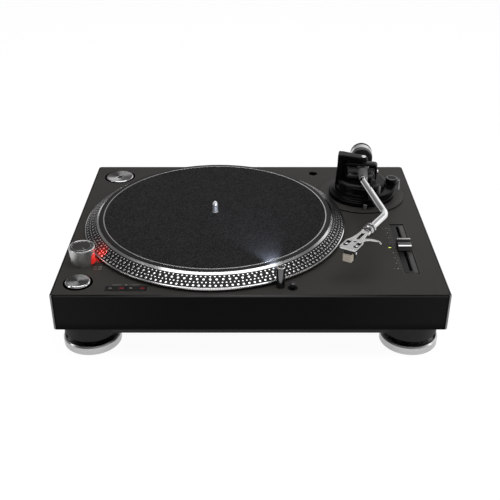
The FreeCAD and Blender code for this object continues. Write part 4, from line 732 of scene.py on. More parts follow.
# The stylus light is a slim black-chromed post that springs up out of the deck. Its lens
# looks across the record, and the small button beside it lets it go.
LAMP_X, LAMP_Y, LAMP_R = round_node("stylus_light")
LAMP_TOP, LAMP_LENS = 26.5, 21.0
lamp_chrome = chrome("lamp_chrome", (0.17, 0.17, 0.175), (0.12, 0.12, 0.125), (0.08, 0.14))
lamp_edge = chrome("lamp_edge", (0.72, 0.7, 0.66), (0.6, 0.6, 0.57), (0.12, 0.2))
fit(lathe("stylus_light_post", [(0, -6), (LAMP_R, -6), (LAMP_R, LAMP_TOP - 0.8), (LAMP_R - 0.8, LAMP_TOP),
        (LAMP_R - 1.4, LAMP_TOP), (LAMP_R - 1.8, LAMP_TOP - 0.5), (0, LAMP_TOP - 0.5)],
        [lamp_chrome, lamp_edge], spot(LAMP_X, LAMP_Y, DECK), cut=0.35, sides=72,
        pick=lambda r, z: ((z > LAMP_TOP - 0.9) & (r > LAMP_R - 1.6)) * 1),
    "stylus_light", "lamp_metal", "stylus_light")
lamp_glow = lit("lamp_glow", (0.8, 0.88, 1.0), 3.0)
LENS_ANGLE, LENS_HALF = 0.46, 2.4


def pane():
    """A low pane that lies on the round post. With phi once round it, it reaches s times the
    square root of |cos phi| of its half angle and of |sin phi| of its half height, with their
    signs, and s goes from 0 at its middle to 1 at its edge, which sinks into the post."""
    phi = np.linspace(0, 2 * np.pi, 37)
    s = np.array([0, 0.5, 0.9, 1.0, 1.0])[:, None]
    r = LAMP_R + np.array([0.06, 0.06, 0.05, 0.0, -0.4])[:, None]
    across = s * LENS_ANGLE * np.sign(np.cos(phi)) * np.sqrt(np.abs(np.cos(phi)))
    up = s * LENS_HALF * np.sign(np.sin(phi)) * np.sqrt(np.abs(np.sin(phi)))
    return np.stack([r * np.sin(across), r * np.cos(across), up], -1)[None]


fit(woven("stylus_light_lens", pane(), [lamp_glow], spot(LAMP_X, LAMP_Y, DECK + LAMP_LENS, 26)),
    "stylus_light", "lamp_metal")
fit(lathe("light_button_cap", [(0, -9), (POP_R, -9), (POP_R, 6.3), (POP_R - 0.7, 7), (0, 6.8)], [lamp_chrome],
        spot(POP_X, POP_Y, DECK), cut=0.4, sides=48),
    "light_button", "control_black", "light_button")


# The fader runs in a dark anodised plate sunk in the deck. Its cap is black plastic with a
# bright bar at the back and a grey grip step, and a green lamp marks the middle of the scale.
plate_dark = finish("plate_dark", 0.009, 0.007, 12, 0.35, 0.01, (0.35, 0.45), gloss=0.3)
SLOT_MIDDLE = (FADER[0][0] + FADER[1][0]) / 2
fit(plate("fader_track_plate", [rectangle(FADER[0][0], FADER[1][0], FADER[0][1], FADER[1][1], 0.3),
        rectangle(SLOT_MIDDLE - 1.6, SLOT_MIDDLE + 1.6, -122.6, -13.0, 1.2)], FADER[0][2], FADER[1][2],
        [plate_dark], ease=0.12),
    "chassis", "fader_trim", "fader_plate")
for side in (-1, 1):
    x = SLOT_MIDDLE + side * 5.4
    fit(plate(f"fader_rail_{'left' if side < 0 else 'right'}",
            [rectangle(x - 2.5, x + 2.5, -126.5, -9.5, 0.4)], FADER[1][2] - 0.2, FADER[1][2] + 0.14,
            [plate_dark if side < 0 else edge_paint], ease=0.08),
        "chassis", "fader_trim")
KNOB_Y = -68.5
SIDEWAYS = Matrix(((0, 0, 1, 0), (1, 0, 0, 0), (0, 1, 0, 0), (0, 0, 0, 1)))
KNOB_AT = spot(SLOT_MIDDLE, KNOB_Y, DECK) @ SIDEWAYS
knob_black = finish("knob_black", 0.011, 0.017, 6, 0.3, 0.01, (0.3, 0.42), gloss=0.4)
knob_silver = finish("knob_silver", (0.72, 0.72, 0.7), (0.62, 0.62, 0.6), 6, 0.25, 0.004,
                     (0.22, 0.3), metal=0.9)
knob_grey = finish("knob_grey", 0.2, 0.15, 6, 0.25, 0.006, (0.3, 0.4), metal=0.5)
knob_profile = eased([(-9, 0.4), (9, 0.4), (9, 7.9), (8.2, 8.6), (6, 8.6), (4.8, 5.2), (2.2, 5.2),
                      (1.2, 7.0), (-5.6, 6.4), (-6.6, 5.6)], 0.5, closed=True)
step_profile = eased([(-5.4, 6.0), (1.1, 6.6), (1.0, 7.16), (-5.4, 6.6)], 0.2, closed=True)
line_profile = eased([(-6.5, 5.5), (-5.3, 6.4), (-5.4, 6.75), (-6.7, 5.85)], 0.1, closed=True)
for name, loop, half, ease, stuff, slot, *node in (
        ("fader_cap", knob_profile, 8.5, 0.5, knob_black, "control_black", "fader_knob"),
        ("fader_cap_bar", rectangle(5.9, 8.7, 8.2, 8.78, 0.25), 8.2, 0.15, knob_silver, "satin_silver"),
        ("fader_cap_step", step_profile, 8.1, 0.15, knob_grey, "control_black"),
        ("fader_cap_line", line_profile, 8.1, 0.1, knob_silver, "satin_silver")):
    fit(plate(name, [loop], -half, half, [stuff], KNOB_AT, ease=ease, foot=ease), "tempo_fader", slot, *node)
fit(blocks("fader_stem", [(-1.1, 1.1, -3.5, 3.5, -12, 1)], [screw_steel], spot(SLOT_MIDDLE, KNOB_Y, DECK)),
    "tempo_fader", "control_black")
led_green = lit("led_green", (0.75, 0.9, 0.12), 1.3)
fit(plate("centre_lamp", [rectangle(-1.7, 1.7, -0.55, 0.55, 0.5)], 0, 0.12, [led_green],
        spot(SCALE_X - 2.4, SCALE_MIDDLE, DECK), ease=0.08), "chassis", "fader_trim")


# The tonearm base is a painted ring let into the deck, with a cast black height ring on it
# and a pedestal that rises when the ring is turned. A wing carries the anti-skating dial.
REST_HEADING = 10.3
PIVOT = Vector(joints["arm_swing"]["pos_m"]) / MM
BASE_AT = spot(PIVOT.x, PIVOT.y, DECK) @ turned(-REST_HEADING, "Z")
FRONTWAYS = turned(90, "X")
base_gloss = finish("base_gloss", 0.0028, 0.004, 14, 0.5, 0.006, (0.16, 0.26), gloss=0.1)
base_grey = deck_paint("base_grey", DECK + 1.6, gloss=0.12)[0]
fit(lathe("base_ring_plate", [(34.1, -9), (34.95, -9), (34.95, 0), (58.5, 0), (58.5, 1.1), (58.0, 1.6),
        (34.1, 1.6)], [base_grey], BASE_AT, cut=0.2, sides=160),
    "chassis", "base_black", "arm_base_ring")
fit(lathe("base_ring_seam", [(58.45, -0.5), (59.3, -0.5), (59.3, 0.04), (58.45, 0.04)], [moulded_black],
        BASE_AT, cut=0.03, sides=160), "chassis", "base_black")
LOCK_X = 8.3
fit(plate("lock_lug", [rectangle(LOCK_X - 3.6, LOCK_X + 3.6, 1.6, 7.0, 0.8)], 46.0, 48.2, [base_gloss],
        BASE_AT @ FRONTWAYS, ease=0.3), "chassis", "base_black")
fit(lathe("height_ring_grip", [(34.08, 2), (44.4, 2), (45, 2.6), (45, 7.4), (44.2, 8.2), (41, 8.8),
        (40.2, 9.6), (40, 11.4), (39.4, 12), (34.08, 12)], [base_gloss], BASE_AT, cut=0.5, sides=160),
    "height_ring", "base_black", "height_ring")
fit(lathe("pedestal_dome", [(0, 18), (30, 18), (30, -16), (34, -16), (34, 13), (32.5, 14), (32.1, 21.8),
        (30.9, 23), (4.2, 23), (3.4, 23.4), (2.0, 25), (2.0, 27.4), (0, 27.4)], [base_gloss], BASE_AT,
        cut=0.8, sides=160),
    "arm_base", "base_black", "arm_pedestal")

WING_R = 44.8
WING_LOW, WING_HIGH = 12.6, 17.0
wing_turn = np.radians(np.linspace(0, -60, 21))
wing_edge = np.stack([WING_R * np.cos(wing_turn), WING_R * np.sin(wing_turn)], 1)
shoulder = eased([(16, -30), (16, 12), (31.5, 12), (33.5, 18), (37, 19.4), (45.4, 18), (46.6, 12),
                  (46.2, 4)], 2.0)
wing_loop = np.vstack([shoulder, wing_edge])
fit(plate("pedestal_wing", [wing_loop], WING_LOW, WING_HIGH, [base_gloss], BASE_AT, ease=0.5),
    "arm_base", "base_black")
fit(lathe("pedestal_lip", [(42.4, 9.6), (44.8, 9.0), (44.8, 13.2), (42.4, 13.2)], [base_gloss], BASE_AT,
        cut=0.4, sides=40, span=(-60, 0)), "arm_base", "base_black")
fit(plate("wing_panel", [eased([(30, 4), (33.4, 13), (36.4, 17.4), (44, 16.4), (45.0, 10), (44.8, 4)], 1.2,
        closed=True)], WING_HIGH - 0.1, WING_HIGH + 0.12, [edge_paint], BASE_AT, ease=0.1),
    "arm_base", "base_black")
fit(plate("pedestal_tab", [eased([(6, -48.6), (20, -48.6), (22, -30), (6, -26)], 2.0, closed=True)], WING_LOW,
        WING_HIGH - 1.4, [base_gloss], BASE_AT, ease=0.5), "arm_base", "base_black")
ink_grey = finish("ink_grey", 0.24, 0.18, 1.5, 0.2, 0.004, (0.5, 0.65))
for number, turn in enumerate(range(-62, -8, 6)):
    tick = (52.0 if turn % 12 else 50.4, 54.2, -0.15, 0.15, 1.58, 1.64)
    fit(blocks(f"height_tick_{number}", [tick], [ink_grey], BASE_AT @ turned(turn, "Z")),
        "chassis", "base_black")
height_figures = [(str(number), 2.2, BASE_AT @ turned(turn, "Z") @ spot(56.0, 0, 1.62, 90))
                  for number, turn in enumerate(range(-62, -8, 12))]
fit(lettering("height_figures", height_figures, ink_grey), "chassis", "base_black")


# The bridge is a cast black arm that stands at the left of the pedestal and holds the upper
# pivot screw over the gimbal.
fit(plate("bridge_leg", [eased([(-37, 13.2), (-26, 13.2), (-26, 54), (-35, 54), (-35, 44)],
        (0.8, 0.8, 1.5, 1.5, 3.0), closed=True)], -14.5, 1, [base_gloss], BASE_AT @ FRONTWAYS, ease=1.2,
        foot=1.2),
    "arm_base", "base_black")
beam_outline = [(-35, -1), (-35, 15.5), (-28, 15.5), (0.5, 5.6), (5.8, 0), (3.6, -4.8), (-4, -5.6), (-27, -1)]
fit(plate("bridge_beam", [eased(beam_outline, (1.5, 1.5, 1.5, 4, 3, 3, 3, 2), closed=True)], 50, 57,
        [base_gloss], BASE_AT, ease=1.6, foot=0.8),
    "arm_base", "base_black", "gimbal_bridge")
fit(plate("bridge_rib", [eased([(-30, 8.6), (-24.2, 8.6), (-22.5, 12.4), (-21.2, 14.5), (-30, 14.5)], 0.5,
        closed=True)], 23.2, 50.4, [base_gloss], BASE_AT, ease=0.3),
    "arm_base", "base_black")
screw_bright = chrome("screw_bright", rough=(0.12, 0.2))
fit(lathe("upper_pivot_screw", [(0, 45.9), (2.0, 45.9), (2.0, 49.5), (2.55, 49.5), (2.55, 57.1), (3.4, 57.1),
        (3.4, 57.6), (2.9, 58), (0, 58)], [screw_bright], BASE_AT, cut=0.15, sides=48),
    "arm_base", "bright_metal", "top_pivot_screw")


# The gimbal is a cast black ring that stands across the arm, turns on the upright pivots and
# holds the arm's axle between two side screws. The left one is sunk in a wide boss.
PIVOT_AT = Matrix.Translation(PIVOT) @ turned(-REST_HEADING, "Z")
YOKE_LEFT, YOKE_RIGHT = -24.2, 19.5
fit(plate("gimbal_yoke", [eased([(YOKE_LEFT, -11.5), (YOKE_RIGHT, -11.5), (YOKE_RIGHT, 12), (YOKE_LEFT, 12)],
        5, closed=True, steps=10), eased([(-20.7, -8.2), (16, -8.2), (16, 6.4), (8, 6.4), (8, 8.9), (-8, 8.9),
        (-8, 6.4), (-20.7, 6.4)], (2.5, 2.5, 1, 0.3, 0.6, 0.6, 0.3, 1), closed=True, steps=8)], -7, 7,
        [base_gloss], PIVOT_AT @ FRONTWAYS, ease=1.4, foot=1.4),
    "gimbal", "base_black", "gimbal_ring")
RIGHTWAYS = turned(90, "Y")
screw_grey = chrome("screw_grey", 0.3, 0.24, (0.2, 0.3))
fit(lathe("side_pivot_screw_right", [(0, 13.6), (1.4, 13.6), (1.4, 16.0), (2.4, 16.0), (2.4, 19.55),
        (3.2, 19.55), (3.2, 20.6), (2.7, 21.1), (0, 21.0)], [screw_bright], PIVOT_AT @ RIGHTWAYS, cut=0.2,
        sides=48),
    "gimbal", "bright_metal", "side_pivot_screws")
fit(lathe("side_pivot_screw_left", [(0, -24.24), (2.8, -24.24), (3.2, -24.0), (3.2, -22.6), (1.4, -22.6),
        (1.4, -18.6), (0, -18.6)], [screw_grey], PIVOT_AT @ RIGHTWAYS, cut=0.2, sides=48),
    "gimbal", "bright_metal")


# The barrel of the arm is a satin grey bullet on its axle, with a ferrule where the chromed
# S-shaped tube comes out and a rear shaft for the counterweight.
REST_TILT, BARREL_TURN, REAR_DROOP = 1.5, 5.0, 2.4
ARM_AT = PIVOT_AT @ turned(-REST_TILT, "X")
BARREL_AT = ARM_AT @ turned(BARREL_TURN, "Z")
REAR_AT = BARREL_AT @ turned(-REAR_DROOP, "X")
BACKWAYS = turned(-90, "X")
barrel_grey = finish("barrel_grey", 0.15, 0.12, 6, 0.4, 0.01, (0.45, 0.55), gloss=0.3)
arm_chrome = chrome("arm_chrome", rough=(0.06, 0.1))
fit(lathe("arm_barrel", [(0, -13.5), (4.2, -13.5), (6.7, -9.5), (6.7, 12), (6.1, 24), (5.7, 29), (5.5, 29.4),
        (5.75, 29.8), (5.75, 32.4), (5.0, 33.4), (0, 33.4)], [barrel_grey, screw_grey], BARREL_AT @ FRONTWAYS,
        cut=0.7, sides=72, pick=lambda r, z: (z > 29.3) * 1),
    "arm", "block_dark", "pivot_block")
fit(lathe("arm_axle", [(0, -20.2), (3.9, -20.2), (4.6, -19.5), (4.6, 0), (3.2, 1), (3.2, 14.9), (2.7, 15.5),
        (0, 15.5)], [barrel_grey], ARM_AT @ RIGHTWAYS, cut=0.3, sides=48),
    "arm", "block_dark")
fit(lathe("weight_shaft", [(0, 11), (3.5, 11), (3.5, 83.2), (2.7, 84), (0, 84)], [screw_steel],
        REAR_AT @ BACKWAYS, cut=0.3, sides=48), "arm", "block_dark")

TUBE_R, ARM_REACH, TIP_SIDE, SHELL_TURN, COLLAR_FRONT = 4.8, 230.4, 1.6, 21.0, 49.5
FIRST_BEND_AT, FIRST_BEND = 38.1, 13.5


def tube_line():
    """Centre line of the tube: straight runs from the barrel, right by the first bend, and
    back along the headshell's own line, with a true arc of its radius in each bend."""
    turn_back = math.radians(SHELL_TURN + BARREL_TURN)
    barrel = math.radians(BARREL_TURN)
    stylus = np.array([-TIP_SIDE * math.cos(barrel) - ARM_REACH * math.sin(barrel),
                       TIP_SIDE * math.sin(barrel) - ARM_REACH * math.cos(barrel)])
    back = np.array([math.sin(turn_back), math.cos(turn_back)])
    end = stylus + back * (COLLAR_FRONT + 2)
    first = np.array([0, -FIRST_BEND_AT])
    slant = math.radians(FIRST_BEND)
    out = np.array([math.sin(slant), -math.cos(slant)])
    reach = np.linalg.solve(np.stack([out, -back], 1), end - first)[0]
    runs = [np.array([0.0, -16.5]), first, first + out * reach, end]
    line = [runs[0][None]]
    for before, corner, after, radius in zip(runs, runs[1:], runs[2:], (40.0, 24.0)):
        into, away = corner - before, after - corner
        into, away = into / np.linalg.norm(into), away / np.linalg.norm(away)
        bend = math.acos(into @ away)
        sign = np.sign(into[0] * away[1] - into[1] * away[0])
        start = corner - into * radius * math.tan(bend / 2)
        aside = sign * np.array([-into[1], into[0]])
        t = np.linspace(0, bend, 21)[:, None]
        arc = start + radius * (np.sin(t) * into + (1 - np.cos(t)) * aside)
        lead = line[-1][-1]
        line.append(lead + (arc[0] - lead) * np.linspace(0, 1, 17)[1:-1, None])
        line.append(arc)
    lead = line[-1][-1]
    line.append(lead + (end - lead) * np.linspace(0, 1, 17)[1:, None])
    flat = np.vstack(line)
    return np.column_stack([flat, 0 * flat[:, 0]])


def carried(name, path, side, halves, materials, place, power=2.0, around=32):
    """A bar carried along a path. At each point stands a section |a/w|^power + |b/t|^power = 1,
    with its width w along side and its thickness t across side and path; both ends are closed."""
    path, side = np.asarray(path, float), np.asarray(side, float)
    halves = np.broadcast_to(np.asarray(halves, float), (len(path), 2))
    ahead = np.gradient(path, axis=0)
    across = np.cross(side, ahead)
    across /= np.linalg.norm(across, axis=1, keepdims=True)
    angle = np.linspace(0, 2 * np.pi, around + 1)
    c, s = np.cos(angle), np.sin(angle)
    a = (np.sign(c) * np.abs(c) ** (2 / power))[:, None]
    b = (np.sign(s) * np.abs(s) ** (2 / power))[:, None]
    ring = path[:, None] + a * side * halves[:, :1, None] + b * across[:, None] * halves[:, 1:, None]
    ends = [np.repeat(path[i, None, None], around + 1, 1) for i in (0, -1)]
    points = np.concatenate([ends[0], ring, ends[1]])
    run = np.cumsum(np.linalg.norm(np.diff(path, axis=0, prepend=path[:1]), axis=1))
    run = np.concatenate([run[:1], run, run[-1:]])
    uv = np.stack([angle / (2 * np.pi) + 0 * run[:, None], 0 * angle + run[:, None]], -1)
    return woven(name, points, materials, place, uv)


fit(carried("arm_tube_chrome", tube_line(), (0, 0, 1), (TUBE_R, TUBE_R), [arm_chrome], BARREL_AT, around=48),
    "arm", "tube_chrome", "arm_tube")


# The counterweight is a polished turned slug with black ends on the rear shaft. The ring in front
# of it is the stylus pressure dial with plain numbers.
weight_chrome = turned_metal("weight_chrome", (0.55, 0.55, 0.56), (0.4, 0.4, 0.41), (0.1, 0.16), lines=2.0,
                             depth=0.001, anisotropic=0.3)
fit(lathe("weight_slug", [(3.57, 52.6), (14.7, 52.6), (15.5, 53.4), (15.5, 66), (15.5, 69), (14.9, 69.4),
        (14.9, 70), (15.5, 70.4), (15.5, 73), (14.5, 74), (6.5, 74), (6, 73), (3.57, 73)],
        [weight_chrome, rubber], REAR_AT @ BACKWAYS, cut=0.3, sides=128,
        pick=lambda r, z: ((z > 66) | (z < 53.3)) * 1),
    "counterweight", "weight_bright", "counterweight")
fit(lathe("pressure_ring", [(3.57, 47.4), (8, 46), (14, 46), (15, 47), (15, 52.3), (3.57, 52.3)],
        [knob_black], REAR_AT @ BACKWAYS, cut=0.3, sides=128),
    "pressure_dial", "control_black", "pressure_dial")
PRESSURE_STEPS = 8
pressure_marks = [
    (str(number), 2.6, REAR_AT @ turned(number * 360 / PRESSURE_STEPS, "Y") @ spot(0, 50.6, 15.02))
    for number in range(PRESSURE_STEPS)]
fit(lettering("pressure_figures", pressure_marks, ink_pale), "pressure_dial", "control_black")
for number in range(40):
    fit(blocks(f"pressure_tick_{number}", [(-0.12, 0.12, 47.2, 48.6, 14.9, 15.04)], [ink_pale],
               REAR_AT @ turned(number * 360 / 40, "Y")), "pressure_dial", "control_black")


# The headshell is die-cast and plated, held by a turned locking collar with a black band. Its
# plate has two sunk slots for the cartridge's screws, a long slot, a small hole and a finger lift.
SHELL_AT = ARM_AT @ spot(-TIP_SIDE, -ARM_REACH, 0, -SHELL_TURN)
collar_metal = turned_metal("collar_metal", 0.62, 0.46, (0.14, 0.24), lines=1.2)
fit(lathe("locking_collar", [(4.5, 49.5), (5.8, 49.5), (7, 50.7), (7, 53.2), (6.6, 53.6), (6.6, 56.6),
        (7, 57), (7, 59.6), (6.1, 60.4), (5.6, 63), (4.88, 63), (4.88, 50.9), (4.5, 50.9)],
        [collar_metal, knob_black], SHELL_AT @ BACKWAYS, cut=0.25, sides=72,
        pick=lambda r, z: ((z > 53.4) & (z < 56.8) & (r > 6)) * 1),
    "collar", "tube_chrome", "shell_collar")

shell_silver = finish("shell_silver", (0.74, 0.74, 0.73), (0.6, 0.6, 0.59), 5, 0.5, 0.008, (0.14, 0.22),
                      metal=0.95)
SCREW_HALF, SINK = 6.35, 1.5
PLATE_HIGH = 3.0
right_side = [(9.4, -6.5), (10.7, -3.5), (10.7, 14.8), (8.2, 20.2), (6, 30.5), (5, 43), (5, 46.5)]
outline = eased(right_side + [(-x, y) for x, y in right_side[::-1]], 2.2, closed=True)
angle = np.linspace(0, 2 * np.pi, 21)[:-1]
small_hole = np.stack([1.7 * np.cos(angle), 14.6 + 1.7 * np.sin(angle)], 1)
openings = [rectangle(-1.8, 1.8, 21, 38.6, 1.5), small_hole]
sides = (-SCREW_HALF, SCREW_HALF)
seats = [rectangle(x - 2.6, x + 2.6, 0.6, 14.4, 2.1) for x in sides]
slots = [rectangle(x - 1.6, x + 1.6, 1.6, 13.4, 1.3) for x in sides]
fit(plate("headshell_plate", [outline, *openings, *seats], SINK - 0.05, PLATE_HIGH, [shell_silver], SHELL_AT,
        ease=0.7, foot=0.02), "headshell", "shell_silver", "headshell")
# The lower layer of the plate is near black as painted shade: it shows in the floors of the screw seats and
# along the plate's lower edge.
shell_painted_shade = finish("shell_painted_shade", 0.012, 0.008, 4, 0.4, 0.01, (0.35, 0.5), gloss=0.2)
fit(plate("headshell_lower_plate", [outline, *openings, *slots], 0, SINK, [shell_painted_shade], SHELL_AT, ease=0.02,
        foot=0.4), "headshell", "shell_silver")


def neck():
    """The neck: a turned profile of radius r along y, whose height is held down to the plate's
    top, and to a lower floor where the long slot looks down on it."""
    side = eased([(0, 27), (2.4, 27), (6, 44), (6, 47.2), (5.1, 48.5), (0, 48.5)], 0.4)
    steps = np.linspace(0.1, 1, 10)[:, None]
    side = np.vstack([side[0], *(a + (b - a) * steps for a, b in zip(side, side[1:]))])
    around = np.radians(np.linspace(0, 360, 73))
    r, run = side[:, :1], side[:, 1:]
    ceiling = np.where(run < 39.5, 0.9, PLATE_HIGH - 0.02)
    return np.stack([r * np.cos(around), run + 0 * around, np.minimum(r * np.sin(around), ceiling)], -1)


# The neck is near black where the long slot looks down on it, as painted shade.
fit(woven("headshell_neck", neck(), [shell_silver, shell_painted_shade], SHELL_AT,
          pick=lambda mid: ((mid[:, 1] < 39.6) & (mid[:, 2] > 0.5)) * 1), "headshell", "shell_silver")
fit(lathe("headshell_plug", [(0, 48), (3.9, 48), (4.0, 48.6), (4.0, 61), (0, 61)], [shell_silver],
        SHELL_AT @ BACKWAYS, cut=0.2, sides=48), "headshell", "shell_silver")
lift_outline = [(6.6, 26.5), (11, 28.8), (15, 30.4), (19, 30.6), (23, 30.1), (26.4, 28), (28.4, 25.4),
                (27.4, 24.2), (25.2, 26.2), (22.4, 27.6), (18.6, 27.6), (14.5, 26.8), (11.4, 24.6),
                (8.6, 21.2), (6.6, 19.5)]
fit(plate("finger_lift", [eased(lift_outline, 1.0, closed=True)], 1.4, PLATE_HIGH, [shell_silver], SHELL_AT,
        ease=0.45, foot=0.45), "headshell", "shell_silver")


# The cartridge is a black moulded body with two steel screws, four pins and a plated clip
# behind its guard. The stylus is a cream grip that slides off it, with a thin cantilever.
cartridge_black = finish("cartridge_black", 0.012, 0.018, 5, 0.3, 0.01, (0.28, 0.4), gloss=0.3)
for name, box, low, high, ease, foot, *node in (
        ("cartridge_body", (-5.8, 5.8, 0.4, 15, 0.8), -6.5, -0.02, 0.3, 0.5, "cartridge"),
        ("cartridge_nose", (-4.8, 4.8, -3.2, 0.5, 0.5), -4.95, -1.2, 0.3, 0.05),
        ("cartridge_guard", (-5.8, 5.8, 2.45, 7.45, 0.6), -13, -6.4, 0.2, 0.5)):
    fit(plate(name, [rectangle(*box)], low, high, [cartridge_black], SHELL_AT, ease=ease, foot=foot),
        "headshell", "cartridge_black", *node)
ears = [(x - 2.7, x + 2.7, 2.8, 9.2, -2.6, -0.03) for x in sides]
fit(blocks("cartridge_ears", ears, [cartridge_black], SHELL_AT), "headshell", "cartridge_black")
for number, (x, z) in enumerate(((-2.4, -2.0), (2.4, -2.0), (-2.4, -4.8), (2.4, -4.8))):
    fit(lathe(f"cartridge_pin_{number}", [(0, 14.4), (0.6, 14.4), (0.6, 18.7), (0.4, 19), (0, 19)],
            [screw_bright], SHELL_AT @ spot(x, 0, z) @ BACKWAYS, cut=0.1, sides=20),
        "headshell", "bright_metal")
fit(plate("cartridge_clip", [rectangle(-5.6, 5.6, 7.5, 8.1, 0.15)], -13.4, -4, [screw_bright], SHELL_AT,
        ease=0.12, foot=0.12), "headshell", "bright_metal")
SCREW_BACK, HEAD_HIGH = 6.0, 3.2
for x, word in zip(sides, ("left", "right")):
    fit(lathe(f"cartridge_screw_{word}", [(0, -8.1), (1.2, -8.1), (1.2, SINK), (2.2, SINK),
            (2.2, HEAD_HIGH - 0.4), (1.7, HEAD_HIGH), (0, HEAD_HIGH)], [screw_bright],
            SHELL_AT @ spot(x, SCREW_BACK), cut=0.3, sides=40),
        "headshell", "bright_metal", "cartridge_screws")
    # Each screw's slot is a black strip laid in its head, a painted shade for the slot.
    fit(blocks(f"cartridge_screw_slot_{word}", [(-1.9, 1.9, -0.3, 0.3, HEAD_HIGH - 0.5, HEAD_HIGH + 0.01)],
            [knob_black], SHELL_AT @ spot(x, SCREW_BACK, turn=35)),
        "headshell", "bright_metal")
cream = finish("cream_plastic", (0.72, 0.64, 0.54), (0.64, 0.56, 0.47), 5, 0.4, 0.02, (0.35, 0.5))
fit(plate("stylus_grip", [eased([(-4.6, -5), (-4.6, -15), (2.4, -15), (2.4, -6.55), (0.35, -6.55),
        (0.35, -5)], (0.4, 0.8, 0.6, 0.2, 0.1, 0.2), closed=True)], -5.2, 5.2, [cream], SHELL_AT @ SIDEWAYS,
        ease=0.4, foot=0.4),
    "stylus", "stylus_cream", "stylus")


def bezier(*corners, count):
    """Points on the curve that those corners pull: the sum of C(n, k) (1-t)^(n-k) t^k p_k."""
    corners = np.asarray(corners, float)
    n = len(corners) - 1
    t = np.linspace(0, 1, count)[:, None]
    return sum(math.comb(n, k) * (1 - t) ** (n - k) * t ** k * corners[k] for k in range(n + 1))


needle_path = bezier((0, 2.2, -14.9), (0, 0.9, -15.1), (0, -0.5, -15.5), count=12)
fit(carried("stylus_cantilever", needle_path, (1, 0, 0), (0.3, 0.22), [screw_bright], SHELL_AT, around=12),
    "stylus", "stylus_cream")
fit(lathe("stylus_tip", [(0, -16.3), (0.12, -16.2), (0.3, -15.6), (0, -15.5)], [screw_bright],
        SHELL_AT @ spot(0, -0.2), cut=0.05, sides=16), "stylus", "stylus_cream")


# Round the arm stand its helpers, in black: the rest with its clip, the lift bar under the
# tube and the anti-skating dial. The cue lever and the lock lever are satin grey metal.
satin_black = finish("satin_black", 0.016, 0.024, 8, 0.4, 0.01, (0.3, 0.42), gloss=0.45)
lever_silver = finish("lever_silver", 0.4, 0.32, 6, 0.3, 0.006, (0.28, 0.38), metal=0.9)
fit(plate("rest_post", [rectangle(11.4, 15.4, -47.4, -40.6, 1.0)], 15.6, 31, [satin_black], BASE_AT,
        ease=0.2), "arm_base", "rest_black")
fit(plate("rest_cradle", [eased([(2.5, 28.4), (15.4, 28.4), (17.4, 34), (17.4, 44.6), (15.2, 45.4),
        (13.2, 44.2), (13.2, 34.5), (11.2, 31.0), (2.5, 30.4)], 1.2, closed=True)], 40.6, 47.4, [satin_black],
        BASE_AT @ FRONTWAYS, ease=0.5, foot=0.5),
    "arm_base", "rest_black", "arm_rest")
clip_path = bezier((15.3, 0, 41.2), (16.8, 0, 47), (17.2, 0, 55.2), (12.4, 0, 55.0), count=32)
clip_path[:, 1] = -44.0
fit(carried("rest_clip", clip_path, (0, 1, 0), np.stack([np.full(32, 1.4), np.linspace(0.9, 0.62, 32)], 1),
        [satin_black], BASE_AT, power=3.0), "arm_clip", "rest_black", "arm_clip")
LIFT_R = 37.0
fit(lathe("lift_bar_arc", [(LIFT_R - 1.8, 27.6), (LIFT_R + 1.8, 27.6), (LIFT_R + 1.8, 30.0),
        (LIFT_R + 1.2, 30.6), (LIFT_R - 1.2, 30.6), (LIFT_R - 1.8, 30.0)], [satin_black], BASE_AT, cut=0.5,
        sides=60, span=(-136, -48)),
    "lift_bar", "rest_black", "lift_bar")
fit(lathe("lift_bar_stem", [(0, 13), (2.5, 13), (2.5, 28.4), (0, 28.4)], [screw_steel],
        BASE_AT @ spot(24.0, -28.2), cut=0.2, sides=40), "lift_bar", "rest_black")
SKATE_X, SKATE_Y, SKATE_R, SKATE_TOP = 40.3, 9.1, 8.1, 25.0
fit(lathe("antiskate_knob", [(0, 12.8), (2, 12.8), (2, 17.2), (SKATE_R, 17.2), (SKATE_R, 24.2),
        (SKATE_R - 0.8, SKATE_TOP), (6.2, SKATE_TOP), (5.8, 24.6), (0, 24.6)], [base_gloss, knob_grey],
        BASE_AT @ spot(SKATE_X, SKATE_Y), cut=0.35, sides=72, pick=lambda r, z: ((r > 6) & (z > 24.75)) * 1),
    "antiskate_dial", "control_black", "antiskate_dial")
skate_marks = [
    (str(number), 1.7, BASE_AT @ spot(SKATE_X, SKATE_Y, 24.62, 40 * number - 90) @ spot(0, 4.4))
    for number in range(7)]
fit(lettering("antiskate_figures", skate_marks, ink_grey), "antiskate_dial", "control_black")


def blunt(count, length, radius):
    """Factors that round a bar's ends: the quarter circle sqrt(1 - (1 - d/radius)^2), at the
    distance d from an end, over that radius."""
    run = np.linspace(0, length, count)
    d = np.minimum(radius, np.minimum(run, length - run))
    return np.sqrt(np.clip(1 - (1 - np.clip(d / radius, 0.02, 1)) ** 2, 0, 1))


wave = 14.6 + 0.5 * np.cos(np.linspace(0, 6, 40))
cue_path = np.stack([np.full(40, 50.4), np.linspace(21.5, -9, 40), wave], 1)
cue_end = blunt(40, 30.5, 1.6)
cue_halves = np.stack([1.35 * cue_end, np.linspace(2.6, 1.5, 40) * cue_end], 1)
fit(carried("cue_blade", cue_path, (1, 0, 0), cue_halves, [knob_grey], BASE_AT, power=3.0),
    "cue_lever", "lever_silver", "cue_lever")
fit(lathe("cue_shaft", [(0, 42), (1.5, 42), (1.5, 49.0), (4.0, 49.0), (4.0, 51.8), (0, 51.8)], [knob_grey],
        BASE_AT @ spot(0, 20, 14.8) @ turned(90, "Y"), cut=0.3, sides=40),
    "cue_lever", "lever_silver")
fit(plate("lock_blade", [rectangle(LOCK_X - 2.3, LOCK_X + 2.3, 2.2, 9.6, 1.5)], 48.5, 50.8, [lever_silver],
        BASE_AT @ FRONTWAYS, ease=0.5, foot=0.2),
    "height_lock", "lever_silver", "height_lock")
